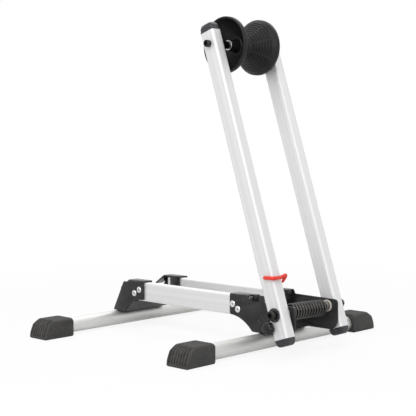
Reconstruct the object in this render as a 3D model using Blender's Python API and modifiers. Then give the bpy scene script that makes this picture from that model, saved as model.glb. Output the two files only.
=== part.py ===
"""Folding floor stand that holds a bicycle by its wheel.

Two aluminium floor tubes with rubber feet carry two steel brackets, and two
rails join the brackets. A pair of arms swings on an axle in the front bracket,
with a torsion spring round the axle, and a V-shaped roller turns between the
tops of the arms.

X runs along the floor tubes, +Y from the front bracket to the rear one and +Z
up. The origin is under the middle of the bounding box. The numbers below are
millimetres, and every mesh is scaled to metres as it is made.
"""

import math

import bmesh
import bpy
from mathutils import Matrix, Vector

MM = 0.001
# Clearance left between two pieces that touch on the real object.
GAP = 0.3

# The base: 400 along the floor tubes and 325 across the feet.
BASE_LENGTH = 400.0
BASE_WIDTH = 325.0
# The middle of the base lies this far behind the origin, because the arms overhang it.
BASE_MIDDLE_Y = 26.03

FOOT_LENGTH = 52.0
FOOT_WIDTH = 38.5
FOOT_HEIGHT = 27.2
FOOT_GROOVES = 7
FOOT_MIDDLE_Y = (BASE_WIDTH - FOOT_WIDTH) / 2
# The tubes lie a little outside the middle of the feet.
FLOOR_TUBE_RADIUS = 11.0
FLOOR_TUBE_WALL = 1.5
FLOOR_TUBE_Y = 146.7
FLOOR_TUBE_Z = 12.5

# Brackets of bent sheet. The walls stand outside the rails.
SHEET = 2.0
WALL_INNER_X = 45.0
WALL_OUTER_X = WALL_INNER_X + SHEET
BRACKET_FLOOR_Z = 23.8
BRACKET_TOP_Z = 73.8
# Flanges reach over the rails to this far from the middle.
FLANGE_INNER_X = 28.4
# The front bracket's lips are bent down from the inner part of its flanges, as far out as this.
FRONT_LIP_OUTER_X = 38.5

RAIL_WIDTH = 14.0
RAIL_HEIGHT = 28.0
RAIL_WALL = 1.5
RAIL_TOP_Z = BRACKET_TOP_Z - SHEET - GAP
RAIL_MIDDLE_Z = RAIL_TOP_Z - RAIL_HEIGHT / 2
RAIL_MIDDLE_X = WALL_INNER_X - GAP - RAIL_WIDTH / 2
RAIL_FRONT_Y = -127.0
RAIL_REAR_Y = 111.0

# The arms lean back from the axle by this angle.
ARM_TILT = math.radians(18.0)
AXLE_Y = -191.6
AXLE_Z = 56.2
ARM_INNER_X = 49.2
ARM_WIDTH = 17.8
ARM_DEPTH = 24.0
ARM_WALL = 1.6
ARM_MIDDLE_X = ARM_INNER_X + ARM_WIDTH / 2
ARM_OUTER_X = ARM_INNER_X + ARM_WIDTH
# Ends of the arm tubes and the roller's axle, measured along the arm from the lower axle.
ARM_BOTTOM = -32.8
ARM_TOP = 397.2
ROLLER_AT = 379.5
LATCH_AT = 50.7
LATCH_WIRE = 4.6

ROLLER_RADIUS = 39.4
ROLLER_HALF_LENGTH = 37.5
ROLLER_HUB_END = 27.6

SLEEVE_RADIUS = 6.5
# The sleeve is thinner inside the spring.
SLEEVE_WAIST_RADIUS = 5.2
AXLE_RADIUS = 3.9

SPRING_WIRE = 3.7
SPRING_RADIUS = 9.4
SPRING_TURNS = 12
SPRING_PITCH = 5.88
SPRING_START_X = -36.5
# The spring hangs askew on the sleeve, high at its left end and low at its right one.
SPRING_LEFT_RISE = 0.7
SPRING_RIGHT_SAG = 1.7
SPRING_POINTS = 10
# Hole in the left wall of the front bracket that takes the spring's fixed leg.
SPRING_HOLE = (-147.5, 41.8)

# The stop screw stands just behind the left arm, below the axle.
STOP_SCREW_BEHIND = 13.9
STOP_SCREW_ALONG = -15.0
STOP_SCREW_RADIUS = 1.6

FRONT_RIVETS = ((-98.5, 59.4), (-108.0, 52.9))
REAR_RIVETS = ((93.2, 60.4), (104.0, 54.4))

FINISHES = {
    "aluminium": ((0.72, 0.73, 0.75, 1.0), 1.0, 0.32),
    "steel": ((0.62, 0.62, 0.63, 1.0), 1.0, 0.3),
    "black_paint": ((0.018, 0.018, 0.02, 1.0), 0.0, 0.45),
    "black_steel": ((0.03, 0.03, 0.032, 1.0), 0.8, 0.35),
    "black_plastic": ((0.02, 0.02, 0.021, 1.0), 0.0, 0.5),
    "natural_nylon": ((0.68, 0.66, 0.6, 1.0), 0.0, 0.45),
    "rubber": ((0.025, 0.025, 0.027, 1.0), 0.0, 0.75),
    "red_coating": ((0.7, 0.02, 0.015, 1.0), 0.0, 0.35),
}

# Turns a mesh made along local Z into one along X, with its first outline axis vertical.
Z_TO_X = Matrix.Rotation(math.pi / 2, 4, "Y")


def new_collection(name):
    collection = bpy.data.collections.new(name)
    bpy.context.scene.collection.children.link(collection)
    return collection


def make_empty(name, location, parent=None, tilt=0.0):
    """A point that groups pieces, set on the axis that they turn about."""
    empty = bpy.data.objects.new(name, None)
    empty.empty_display_size = 0.02
    empty.location = [value * MM for value in location]
    empty.rotation_euler = (tilt, 0.0, 0.0)
    empty.parent = parent
    PARTS.objects.link(empty)
    return empty


def make_object(name, data, parent, location=(0, 0, 0)):
    obj = bpy.data.objects.new(name, data)
    obj.location = [value * MM for value in location]
    obj.parent = parent
    PARTS.objects.link(obj)
    return obj


def as_cutter(obj):
    PARTS.objects.unlink(obj)
    CUTTERS.objects.link(obj)
    obj.hide_render = True
    obj.display_type = "WIRE"
    return obj


def finish(obj, kind):
    """Gives the object its own material and smooth shading between its sharp edges."""
    colour, metallic, roughness = FINISHES[kind]
    material = bpy.data.materials.new(obj.name)
    material.use_nodes = True
    shader = material.node_tree.nodes["Principled BSDF"]
    shader.inputs["Base Color"].default_value = colour
    shader.inputs["Metallic"].default_value = metallic
    shader.inputs["Roughness"].default_value = roughness
    obj.data.materials.clear()
    obj.data.materials.append(material)
    if obj.type == "MESH":
        obj.data.shade_smooth()
        obj.data.set_sharp_from_angle(angle=math.radians(35))
    return obj


def rounded(corners, steps=3):
    """Closed outline through (a, b, radius) corners, each rounded by its radius."""
    outline = []
    for index, (a, b, radius) in enumerate(corners):
        here = Vector((a, b))
        before = Vector(corners[index - 1][:2]) - here
        after = Vector(corners[(index + 1) % len(corners)][:2]) - here
        if radius <= 0:
            outline.append((a, b))
            continue
        reach = radius / math.tan(before.angle(after) / 2)
        start = here + before.normalized() * reach
        end = here + after.normalized() * reach
        for step in range(steps + 1):
            t = step / steps
            point = start * (1 - t) ** 2 + here * 2 * t * (1 - t) + end * t**2
            outline.append((point.x, point.y))
    return outline


def rounded_box(width, height, radius, middle=(0.0, 0.0), steps=3):
    a, b = width / 2, height / 2
    corners = [(a, b, radius), (-a, b, radius), (-a, -b, radius), (a, -b, radius)]
    return [(x + middle[0], y + middle[1]) for x, y in rounded(corners, steps)]


def circle(radius, middle=(0.0, 0.0), sides=24):
    turns = [2 * math.pi * index / sides for index in range(sides)]
    return [(middle[0] + radius * math.cos(t), middle[1] + radius * math.sin(t)) for t in turns]


def arc_through(first, middle, last, steps):
    """Points of the circular arc from first to last that passes through middle."""
    (ax, ay), (bx, by), (cx, cy) = first, middle, last
    d = 2 * (ax * (by - cy) + bx * (cy - ay) + cx * (ay - by))
    a2, b2, c2 = ax**2 + ay**2, bx**2 + by**2, cx**2 + cy**2
    ox = (a2 * (by - cy) + b2 * (cy - ay) + c2 * (ay - by)) / d
    oy = (a2 * (cx - bx) + b2 * (ax - cx) + c2 * (bx - ax)) / d
    radius = math.hypot(ax - ox, ay - oy)
    start, end = math.atan2(ay - oy, ax - ox), math.atan2(cy - oy, cx - ox)
    sweep = (end - start + math.pi) % (2 * math.pi) - math.pi
    angles = [start + sweep * step / steps for step in range(steps + 1)]
    return [(ox + radius * math.cos(t), oy + radius * math.sin(t)) for t in angles]


def solid_mesh(obj):
    """The object's evaluated shape as a plain mesh with its caps joined to its sides."""
    graph = bpy.context.evaluated_depsgraph_get()
    mesh = bpy.data.meshes.new_from_object(obj.evaluated_get(graph))
    shape = bmesh.new()
    shape.from_mesh(mesh)
    bmesh.ops.remove_doubles(shape, verts=shape.verts, dist=1e-7)
    bmesh.ops.recalc_face_normals(shape, faces=shape.faces)
    shape.to_mesh(mesh)
    shape.free()
    return mesh


def extruded_mesh(name, outlines, length, along_x=False):
    """A flat outline with its holes, drawn out equally to both sides of its plane.

    Along X, an outline's two numbers are Y and Z. Otherwise they are X and Y.
    """
    curve = bpy.data.curves.new(name, "CURVE")
    curve.dimensions = "2D"
    curve.fill_mode = "BOTH"
    curve.extrude = length / 2 * MM
    for outline in outlines:
        spline = curve.splines.new("POLY")
        spline.points.add(len(outline) - 1)
        for point, (a, b) in zip(spline.points, outline):
            point.co = (-b * MM, a * MM, 0, 1) if along_x else (a * MM, b * MM, 0, 1)
        spline.use_cyclic_u = True
    guide = bpy.data.objects.new(name + "_guide", curve)
    CUTTERS.objects.link(guide)
    bpy.context.view_layer.update()
    mesh = solid_mesh(guide)
    bpy.data.objects.remove(guide, do_unlink=True)
    if along_x:
        mesh.transform(Z_TO_X)
    mesh.name = name
    return mesh


def extruded(name, outlines, length, parent, location=(0, 0, 0), along_x=False):
    return make_object(name, extruded_mesh(name, outlines, length, along_x), parent, location)


def box(name, low, high, parent):
    """A cutter or a plate between two opposite corners."""
    shape = bmesh.new()
    bmesh.ops.create_cube(shape, size=1.0)
    for vert in shape.verts:
        vert.co = Vector([(a + (b - a) * (c + 0.5)) * MM for a, b, c in zip(low, high, vert.co)])
    mesh = bpy.data.meshes.new(name)
    shape.to_mesh(mesh)
    shape.free()
    return make_object(name, mesh, parent)


def turned(name, profile, parent, location=(0, 0, 0), steps=24, axis="X", closed=False):
    """A profile of (radius, height) points spun round the axis, from its top down its outer side."""
    mesh = bpy.data.meshes.new(name)
    points = [(radius * MM, 0.0, height * MM) for radius, height in profile]
    edges = [(index, index + 1) for index in range(len(points) - 1)]
    if closed:
        edges.append((len(points) - 1, 0))
    mesh.from_pydata(points, edges, [])
    obj = make_object(name, mesh, parent, location)
    if axis == "X":
        obj.rotation_euler = (0.0, math.pi / 2, 0.0)
    spin = obj.modifiers.new("Spin", "SCREW")
    spin.angle = 2 * math.pi
    spin.steps = steps
    spin.render_steps = steps
    spin.use_merge_vertices = True
    spin.merge_threshold = 1e-6
    spin.use_smooth_shade = True
    return obj


def ring(name, inner, outer, low, high, parent, location=(0, 0, 0), steps=20):
    """A washer, bush or spacer with a plain bore, from low to high along X."""
    profile = [(outer, high), (outer, low), (inner, low), (inner, high)]
    return turned(name, profile, parent, location, steps, closed=True)


def rod_cutter(name, radius, low, high, parent, location=(0, 0, 0), axis="X", steps=16):
    profile = [(0.0, high), (radius, high), (radius, low), (0.0, low)]
    return as_cutter(turned(name, profile, parent, location, steps, axis))


def combine(obj, other, operation, name):
    """Adds an exact Boolean of the other object, which is then kept only as a helper."""
    modifier = obj.modifiers.new(name, "BOOLEAN")
    modifier.operation = operation
    modifier.solver = "EXACT"
    modifier.object = other
    if other.name in PARTS.objects:
        as_cutter(other)
    return obj


def cut(obj, cutter):
    return combine(obj, cutter, "DIFFERENCE", "Cut " + cutter.name)


def join(obj, other):
    return combine(obj, other, "UNION", "Join " + other.name)


def lofted(name, sections, parent, location=(0, 0, 0)):
    """Skin over (outline, height) sections with equal point counts, closed at both ends."""
    shape = bmesh.new()
    rings = []
    for outline, height in sections:
        rings.append([shape.verts.new((a * MM, b * MM, height * MM)) for a, b in outline])
    for lower, upper in zip(rings, rings[1:]):
        for index in range(len(lower)):
            after = (index + 1) % len(lower)
            shape.faces.new((lower[index], lower[after], upper[after], upper[index]))
    shape.faces.new(rings[0][::-1])
    shape.faces.new(rings[-1])
    bmesh.ops.recalc_face_normals(shape, faces=shape.faces)
    mesh = bpy.data.meshes.new(name)
    shape.to_mesh(mesh)
    shape.free()
    return make_object(name, mesh, parent, location)


def wire_curve(name, points, radius, parent, location=(0, 0, 0), sides=1, taper=()):
    """A round wire along the points. taper gives the last points' share of the radius."""
    curve = bpy.data.curves.new(name, "CURVE")
    curve.dimensions = "3D"
    curve.bevel_depth = radius * MM
    curve.bevel_resolution = sides
    curve.use_fill_caps = True
    spline = curve.splines.new("POLY")
    spline.points.add(len(points) - 1)
    shares = [1.0] * (len(points) - len(taper)) + list(taper)
    for point, place, share in zip(spline.points, points, shares):
        point.co = (place[0] * MM, place[1] * MM, place[2] * MM, 1)
        point.radius = share
    return make_object(name, curve, parent, location)


def bent_path(corners, steps=4):
    """Points along straight runs whose corners (x, y, z, radius) are rounded."""
    path = []
    for index, corner in enumerate(corners):
        here, radius = Vector(corner[:3]), corner[3]
        if radius <= 0:
            path.append(here)
            continue
        before = Vector(corners[index - 1][:3]) - here
        after = Vector(corners[index + 1][:3]) - here
        reach = radius / math.tan(before.angle(after) / 2)
        start = here + before.normalized() * reach
        end = here + after.normalized() * reach
        for step in range(steps + 1):
            t = step / steps
            path.append(start * (1 - t) ** 2 + here * 2 * t * (1 - t) + end * t**2)
    return path


def foot_profile():
    """Side outline of a foot in X and Z, with its outer end at +X and the tube's side at 0."""
    return rounded(
        [
            (0.0, 0.0, 3.0),
            (0.0, FOOT_HEIGHT, 4.5),
            (FOOT_LENGTH - 15.5, FOOT_HEIGHT, 8.0),
            (FOOT_LENGTH - 6.0, FOOT_HEIGHT - 6.2, 7.0),
            (FOOT_LENGTH - 1.0, 8.0, 6.0),
            (FOOT_LENGTH, 1.4, 0.0),
            (FOOT_LENGTH - 1.4, 0.0, 0.0),
        ],
        2,
    )


def groove_outline():
    """Strip along the foot's end and over its top edge, deep enough to leave shallow grooves."""
    path = [(FOOT_LENGTH - 0.4, 3.5), (FOOT_LENGTH - 1.0, 8.0), (FOOT_LENGTH - 6.0, FOOT_HEIGHT - 6.2)]
    path += [(FOOT_LENGTH - 10.8, FOOT_HEIGHT - 3.0), (FOOT_LENGTH - 17.0, FOOT_HEIGHT)]
    outward = [(1.0, 0.1), (1.0, 0.25), (0.8, 0.6), (0.55, 0.84), (0.15, 1.0)]
    outer = [(x + 2.0 * nx, z + 2.0 * nz) for (x, z), (nx, nz) in zip(path, outward)]
    inner = [(x - 1.0 * nx, z - 1.0 * nz) for (x, z), (nx, nz) in zip(path, outward)]
    return inner + outer[::-1]


def add_feet(base):
    """Rubber boots pushed over the ends of the floor tubes, grooved across their outer ends."""
    outline = [(-x, z) for x, z in foot_profile()]
    # The profile is drawn out along local Z, which then becomes the foot's width along Y.
    stand_up = Matrix.Rotation(math.pi / 2, 4, "X")
    body = extruded_mesh("foot", [outline], FOOT_WIDTH)
    body.transform(stand_up)
    strip = extruded_mesh("foot_groove", [[(-x, z) for x, z in groove_outline()]], 2.1)
    strip.transform(stand_up)
    for side, end in (("front", -1), ("rear", 1)):
        for hand, turn in (("left", 0.0), ("right", math.pi)):
            x = (FOOT_LENGTH - BASE_LENGTH / 2) * math.cos(turn)
            place = (x, FOOT_MIDDLE_Y * end, 0.0)
            foot = make_object(f"foot_{side}_{hand}", body.copy(), base, place)
            foot.rotation_euler = (0.0, 0.0, turn)
            edges = foot.modifiers.new("Rounded edges", "BEVEL")
            edges.width = 2.4 * MM
            edges.segments = 1
            edges.limit_method = "ANGLE"
            edges.angle_limit = math.radians(60)
            aside = (FLOOR_TUBE_Y - FOOT_MIDDLE_Y) * end * math.cos(turn)
            spot = (0, aside, FLOOR_TUBE_Z)
            radius = FLOOR_TUBE_RADIUS + GAP
            bore = rod_cutter(f"{foot.name}_bore", radius, -38.0, 10.0, foot, spot, steps=24)
            cut(foot, bore)
            for index in range(FOOT_GROOVES):
                across = (index - (FOOT_GROOVES - 1) / 2) * 4.8
                groove = make_object(f"{foot.name}_groove_{index}", strip, foot, (0, across, 0))
                cut(foot, groove)
            finish(foot, "rubber")


def add_floor_tubes(base):
    """Round tubes that run from foot to foot, holed where the brackets are screwed down."""
    half = BASE_LENGTH / 2 - FOOT_LENGTH + 36.0
    for side, end in (("front", -1), ("rear", 1)):
        loops = [
            circle(FLOOR_TUBE_RADIUS, sides=28),
            circle(FLOOR_TUBE_RADIUS - FLOOR_TUBE_WALL, sides=28),
        ]
        place = (0, FLOOR_TUBE_Y * end, FLOOR_TUBE_Z)
        tube = extruded(f"{side}_floor_tube", loops, 2 * half, base, place, along_x=True)
        for hand, x in (("left", -26.0), ("right", 26.0)):
            hole = rod_cutter(f"{tube.name}_{hand}_hole", 3.1, 4.0, 14.0, tube, (x, 0, 0), "Z")
            cut(tube, hole)
        finish(tube, "aluminium")


def sharp(points):
    return [(a, b, 0.0) for a, b in points]


def front_outline():
    """Side of the front bracket in Y and Z. It stands proud where the bent section ends it."""
    corners = [(-94.0, BRACKET_TOP_Z + 1.0, 0.0), (-94.0, 44.4, 2.5)]
    corners += sharp(arc_through((-99.0, 44.3), (-117.1, 38.6), (-135.0, BRACKET_FLOOR_Z), 8))
    corners += [
        (-136.0, BRACKET_FLOOR_Z - 1.0, 0.0),
        (-209.4, BRACKET_FLOOR_Z - 1.0, 18.0),
        (-209.4, 66.0, 6.0),
        (-133.5, 67.2, 2.5),
        (-130.5, BRACKET_TOP_Z + 1.0, 0.0),
    ]
    return rounded(corners, 4)


def rear_outline():
    """Side of the rear bracket in Y and Z, upright towards the rails and sloped behind."""
    corners = [(84.0, BRACKET_TOP_Z + 1.0, 0.0), (84.0, 45.6, 2.0)]
    corners += sharp(arc_through((88.0, 45.4), (110.5, 39.3), (126.0, 25.0), 8))
    corners += [
        (126.8, BRACKET_FLOOR_Z - 1.0, 0.0),
        (153.1, BRACKET_FLOOR_Z - 1.0, 1.5),
        (128.4, 70.4, 2.5),
        (119.0, 70.4, 0.0),
        (118.0, BRACKET_TOP_Z + 1.0, 0.0),
    ]
    return rounded(corners, 4)


def bent_section():
    """Section of a bracket in X and Z: a floor, two walls and flanges over the rails."""
    top, floor = BRACKET_TOP_Z, BRACKET_FLOOR_Z
    half = [
        (WALL_OUTER_X, floor, 3.0),
        (WALL_OUTER_X, top, 3.0),
        (FLANGE_INNER_X, top, 0.0),
        (FLANGE_INNER_X, top - SHEET, 0.0),
        (WALL_INNER_X, top - SHEET, 1.0),
        (WALL_INNER_X, floor + SHEET, 1.0),
    ]
    mirrored = [(-x, z, radius) for x, z, radius in half[::-1]]
    return rounded(half + mirrored, 3)


def bent_bracket(name, outline, rivets, base):
    """The section drawn along Y and trimmed to the side outline, with its rivet holes."""
    low, high = min(y for y, _ in outline) - 5.0, max(y for y, _ in outline) + 5.0
    bracket = extruded(name, [bent_section()], high - low, base, (0, (low + high) / 2, 0))
    bracket.data.transform(Matrix.Rotation(math.pi / 2, 4, "X"))
    loops = [outline] + [circle(2.6, place, 16) for place in rivets]
    side = extruded(name + "_side", loops, 2 * WALL_OUTER_X + 10.0, base, along_x=True)
    return combine(bracket, side, "INTERSECT", "Trim to side")


def cut_box(bracket, label, low, high, base):
    cut(bracket, as_cutter(box(f"{bracket.name}_{label}", low, high, base)))


def screw_holes(bracket, y, base):
    for hand, x in (("left", -26.0), ("right", 26.0)):
        hole = rod_cutter(f"{bracket.name}_{hand}_screw_hole", 3.2, 10.0, 40.0, base, (x, y, 0), "Z")
        cut(bracket, hole)


def add_front_bracket(base):
    """Bent sheet: two walls, a floor on the front tube and flanges over the rails."""
    bracket = bent_bracket("front_bracket", front_outline(), FRONT_RIVETS, base)
    # The floor ends ahead of the tube and the flanges end above the rails' plugs.
    opening = WALL_INNER_X - 1.4
    cut_box(bracket, "floor_end", (-opening, -230.0, 10.0), (opening, -160.0, 60.0), base)
    spot = (0, AXLE_Y, AXLE_Z)
    cut(bracket, rod_cutter("front_bracket_axle_hole", 8.3, -60.0, 60.0, base, spot))
    for label, place, radius in (
        ("spring", SPRING_HOLE, 2.2),
        ("stop_screw", stop_screw_place(), 2.8),
    ):
        spot = (-WALL_INNER_X, *place)
        cut(bracket, rod_cutter(f"front_bracket_{label}_hole", radius, -8.0, 8.0, base, spot))
    # The left flange ends in a notch, with a catch tab ahead of it.
    notch = [(-126.8, 90.0, 0.0), (-126.8, 66.8, 4.0), (-140.0, 66.8, 0.0), (-140.0, 90.0, 0.0)]
    place = (-(WALL_OUTER_X + FRONT_LIP_OUTER_X) / 2, 0, 0)
    width = WALL_OUTER_X - FRONT_LIP_OUTER_X + 5.0
    notch_cutter = extruded("front_bracket_notch", [rounded(notch)], width, base, place, along_x=True)
    cut(bracket, notch_cutter)
    # The inner part of each flange is bent down as a lip ahead of the rail's plug.
    for hand, sign in (("left", -1), ("right", 1)):
        low, high = sorted((sign * (FLANGE_INNER_X + 0.2), sign * FRONT_LIP_OUTER_X))
        corners = ((low, -132.8, 60.0), (high, -130.6, BRACKET_TOP_Z - 0.2))
        join(bracket, box(f"front_bracket_{hand}_lip", *corners, base))
    tab = rounded([(-145.7, -1.2, 0.0), (-155.8, -1.2, 0.0), (-155.8, 9.0, 3.5), (-147.2, 9.0, 1.5)])
    middle_x = -(WALL_INNER_X + SHEET / 2)
    catch = extruded("front_bracket_catch", [tab], SHEET, base, (middle_x, 0, 66.6), along_x=True)
    catch.rotation_euler = (0.0, math.radians(4), 0.0)
    join(bracket, catch)
    screw_holes(bracket, -FLOOR_TUBE_Y, base)
    finish(bracket, "black_paint")


def add_rear_bracket(base):
    """Bent sheet like the front one, with plates inside the rails and tongues behind them."""
    bracket = bent_bracket("rear_bracket", rear_outline(), REAR_RIVETS, base)
    top = BRACKET_TOP_Z
    # The flanges' rear ends are bent down as sloped tongues, clear of the walls.
    tongue = [(116.6, top - 0.2), (118.2, top), (137.9, top - 13.7), (136.7, top - 15.3)]
    tongue += [(117.6, top - SHEET), (116.6, top - SHEET + 0.2)]
    inner, outer = FLANGE_INNER_X + 0.2, WALL_INNER_X - 0.6
    for hand, sign in (("left", -1), ("right", 1)):
        low, high = sorted((sign * (FLANGE_INNER_X + 0.2), sign * (FLANGE_INNER_X + SHEET)))
        plate = box(f"rear_bracket_{hand}_plate", (low, 84.3, 50.0), (high, 104.0, top - 1.0), base)
        join(bracket, plate)
        place = (sign * (inner + outer) / 2, 0, 0)
        name = f"rear_bracket_{hand}_tongue"
        join(bracket, extruded(name, [tongue], outer - inner, base, place, along_x=True))
    # A sloped lip carries the floor up to the walls' curved edges, below the rails.
    lip = [(127.5, 24.0), (127.5, 25.6), (110.9, 42.0), (109.5, 40.6), (126.0, 24.0)]
    width = 2 * WALL_INNER_X + 1.0
    join(bracket, extruded("rear_bracket_lip", [lip], width, base, along_x=True))
    screw_holes(bracket, FLOOR_TUBE_Y, base)
    finish(bracket, "black_paint")


def add_bracket_screws(base):
    """Pan-head screws that hold the floor of each bracket down to its tube."""
    top = BRACKET_FLOOR_Z + SHEET + GAP
    profile = [(0.0, 3.4), (2.6, 3.3), (4.6, 2.3), (5.4, 0.6), (5.4, 0.0), (2.7, 0.0)]
    profile += [(2.7, -9.0), (0.0, -9.0)]
    for side, end in (("front", -1), ("rear", 1)):
        for hand, x in (("left", -26.0), ("right", 26.0)):
            place = (x, FLOOR_TUBE_Y * end, top)
            screw = turned(f"{side}_{hand}_screw", profile, base, place, 16, axis="Z")
            slot = rounded_box(2.6, 2.6, 0.0)
            recess = extruded(f"{screw.name}_recess", [slot], 2.4, base, (x, place[1], top + 3.2))
            cut(screw, recess)
            finish(screw, "steel")


def add_rails(base):
    """Rectangular tubes between the brackets, with a plastic plug in each end."""
    middle_y = (RAIL_FRONT_Y + RAIL_REAR_Y) / 2
    length = RAIL_REAR_Y - RAIL_FRONT_Y
    outer = rounded_box(RAIL_WIDTH, RAIL_HEIGHT, 2.5)
    inside = (RAIL_WIDTH - 2 * RAIL_WALL, RAIL_HEIGHT - 2 * RAIL_WALL)
    inner = rounded_box(*inside, 1.2)
    lay_down = Matrix.Rotation(-math.pi / 2, 4, "X")
    plug_inner = rounded_box(inside[0] - 2 * GAP, inside[1] - 2 * GAP, 1.0)
    plug_outer = rounded_box(RAIL_WIDTH - 0.6, RAIL_HEIGHT - 0.6, 2.3)
    plug_end = rounded_box(RAIL_WIDTH - 3.0, RAIL_HEIGHT - 3.0, 1.5)
    for hand, sign in (("left", -1), ("right", 1)):
        place = (sign * RAIL_MIDDLE_X, middle_y, RAIL_MIDDLE_Z)
        rail = extruded(f"{hand}_rail", [outer, inner], length, base, place)
        rail.data.transform(lay_down)
        for y, z in FRONT_RIVETS + REAR_RIVETS:
            low, high = sorted((sign * 2.0, sign * 12.0))
            spot = (place[0], y, z)
            cut(rail, rod_cutter(f"{hand}_rail_hole_{y:.0f}", 2.6, low, high, base, spot))
        finish(rail, "aluminium")
        for side, y, end in (("front", RAIL_FRONT_Y, -1), ("rear", RAIL_REAR_Y, 1)):
            sections = [(plug_inner, -3.0), (plug_inner, GAP), (plug_outer, GAP)]
            sections += [(plug_outer, 1.6), (plug_end, 2.8)]
            plug = lofted(f"{hand}_rail_{side}_plug", sections, base, (place[0], y, place[2]))
            plug.data.transform(Matrix.Rotation(-end * math.pi / 2, 4, "X"))
            finish(plug, "black_plastic")


def add_rivets(base):
    """Blind rivets through each wall into the rail behind it, hollow where the stem broke off."""
    face = WALL_OUTER_X + GAP
    profile = [(1.2, face + 1.0), (2.6, face + 1.2), (4.75, face + 0.4), (4.75, face)]
    profile += [(2.3, face), (2.3, face - 4.4), (3.2, face - 4.8), (2.6, face - 8.4), (0.0, face - 8.4)]
    hollow = [(0.0, face - 3.0), (1.2, face - 3.0)]
    for hand, sign in (("left", -1), ("right", 1)):
        for side, places in (("front", FRONT_RIVETS), ("rear", REAR_RIVETS)):
            for index, (y, z) in enumerate(places, 1):
                name = f"{side}_{hand}_rivet_{index}"
                rivet = turned(name, hollow + profile, base, (0, y, z), 12)
                if sign < 0:
                    rivet.rotation_euler = (0.0, -math.pi / 2, 0.0)
                finish(rivet, "aluminium")


def add_arms(pivot):
    """Rounded rectangular tubes outside the front bracket, holed for the axle and the roller's bolt."""
    outer = rounded_box(ARM_WIDTH, ARM_DEPTH, 4.0, steps=4)
    inner = rounded_box(ARM_WIDTH - 2 * ARM_WALL, ARM_DEPTH - 2 * ARM_WALL, 2.4, steps=4)
    length = ARM_TOP - ARM_BOTTOM
    middle = (ARM_TOP + ARM_BOTTOM) / 2
    for hand, sign in (("left", -1), ("right", 1)):
        x = sign * ARM_MIDDLE_X
        arm = extruded(f"{hand}_arm", [outer, inner], length, pivot, (x, 0, middle))
        for label, radius, along in (("axle", 4.3, 0.0), ("roller", 3.4, ROLLER_AT)):
            hole = rod_cutter(f"{arm.name}_{label}_hole", radius, -14.0, 14.0, pivot, (x, 0, along))
            cut(arm, hole)
        if sign < 0:
            latch = rod_cutter(f"{arm.name}_latch_hole", 2.8, -14.0, 0.0, pivot, (x, 0, LATCH_AT))
            cut(arm, latch)
        finish(arm, "aluminium")


def add_arm_caps(pivot):
    """Plastic plugs with a thin lip and a domed head in both ends of each arm."""
    plug = (ARM_WIDTH - 2 * ARM_WALL - 2 * GAP, ARM_DEPTH - 2 * ARM_WALL - 2 * GAP)
    stem = rounded_box(*plug, 2.0)
    lip = rounded_box(ARM_WIDTH + 0.8, ARM_DEPTH + 0.8, 4.2)
    for label, at, sign, height in (("bottom", ARM_BOTTOM, -1, 10.0), ("top", ARM_TOP, 1, 11.5)):
        sections = [(stem, -12.0), (stem, GAP), (lip, GAP), (lip, 1.5)]
        for share, shrink in ((0.35, 0.2), (0.62, 1.4), (0.85, 4.0), (1.0, 8.2)):
            size = (ARM_WIDTH - shrink, ARM_DEPTH - shrink)
            sections.append((rounded_box(*size, 4.0), 1.5 + (height - 1.5) * share))
        if sign < 0:
            sections = [(outline, -level) for outline, level in sections[::-1]]
        for hand, side in (("left", -1), ("right", 1)):
            place = (side * ARM_MIDDLE_X, 0, at)
            finish(lofted(f"{hand}_arm_{label}_cap", sections, pivot, place), "black_plastic")


def hexagon(across, middle=(0.0, 0.0)):
    radius = across / math.sqrt(3)
    return circle(radius, middle, 6)


def cap_screw(name, head_radius, head_height, shank_radius, head_x, end_x, key, pivot, place):
    """Socket-head screw along X, its head at -X with the face under the head at head_x."""
    profile = [(0.0, end_x), (shank_radius - 0.5, end_x), (shank_radius, end_x - 0.5)]
    profile += [(shank_radius, head_x), (head_radius, head_x), (head_radius, head_x - head_height + 0.6)]
    profile += [(head_radius - 0.6, head_x - head_height), (0.0, head_x - head_height)]
    screw = turned(name, profile, pivot, place, 20)
    depth = head_height * 0.6
    spot = (head_x - head_height, place[1], place[2])
    socket = extruded(name + "_socket", [hexagon(key)], 2 * depth, pivot, spot, along_x=True)
    cut(screw, socket)
    return finish(screw, "black_steel")


def lock_nut(name, across, height, bore, face_x, pivot, place):
    """Hexagon nut with a round collar on its outer side, on an axis along X."""
    body = height * 0.72
    loops = [hexagon(across), circle(bore, sides=16)]
    nut = extruded(name, loops, body, pivot, (face_x + body / 2, *place[1:]), along_x=True)
    low, high = face_x + body - 0.4, face_x + height
    collar = ring(name + "_collar", bore, across * 0.44, low, high, pivot, place, 16)
    join(nut, collar)
    return finish(nut, "black_steel")


def add_axle(pivot):
    """Screw, sleeve, washers and nut that join the arms through the front bracket."""
    near = -(ARM_OUTER_X + GAP)
    washer = 1.6
    finish(ring("axle_left_washer", 4.3, 9.5, near - washer, near, pivot), "black_plastic")
    head = near - washer - GAP
    far = ARM_OUTER_X + GAP
    cap_screw("axle_screw", 6.2, 7.4, AXLE_RADIUS, head, far + 12.2, 6.0, pivot, (0, 0, 0))
    end = ARM_INNER_X - GAP
    waist = [(SLEEVE_RADIUS, -42.5), (SLEEVE_WAIST_RADIUS, -42.0), (SLEEVE_WAIST_RADIUS, 37.8)]
    profile = [(4.3, end), (SLEEVE_RADIUS, end), (SLEEVE_RADIUS, 38.3), *waist[::-1]]
    profile += [(SLEEVE_RADIUS, -end), (4.3, -end)]
    finish(turned("axle_sleeve", profile, pivot, steps=20, closed=True), "steel")
    finish(ring("axle_right_washer", 4.3, 8.5, far, far + 1.6, pivot), "steel")
    lock_nut("axle_nut", 13.0, 8.5, 4.3, far + 1.6 + GAP, pivot, (0, 0, 0))


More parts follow.
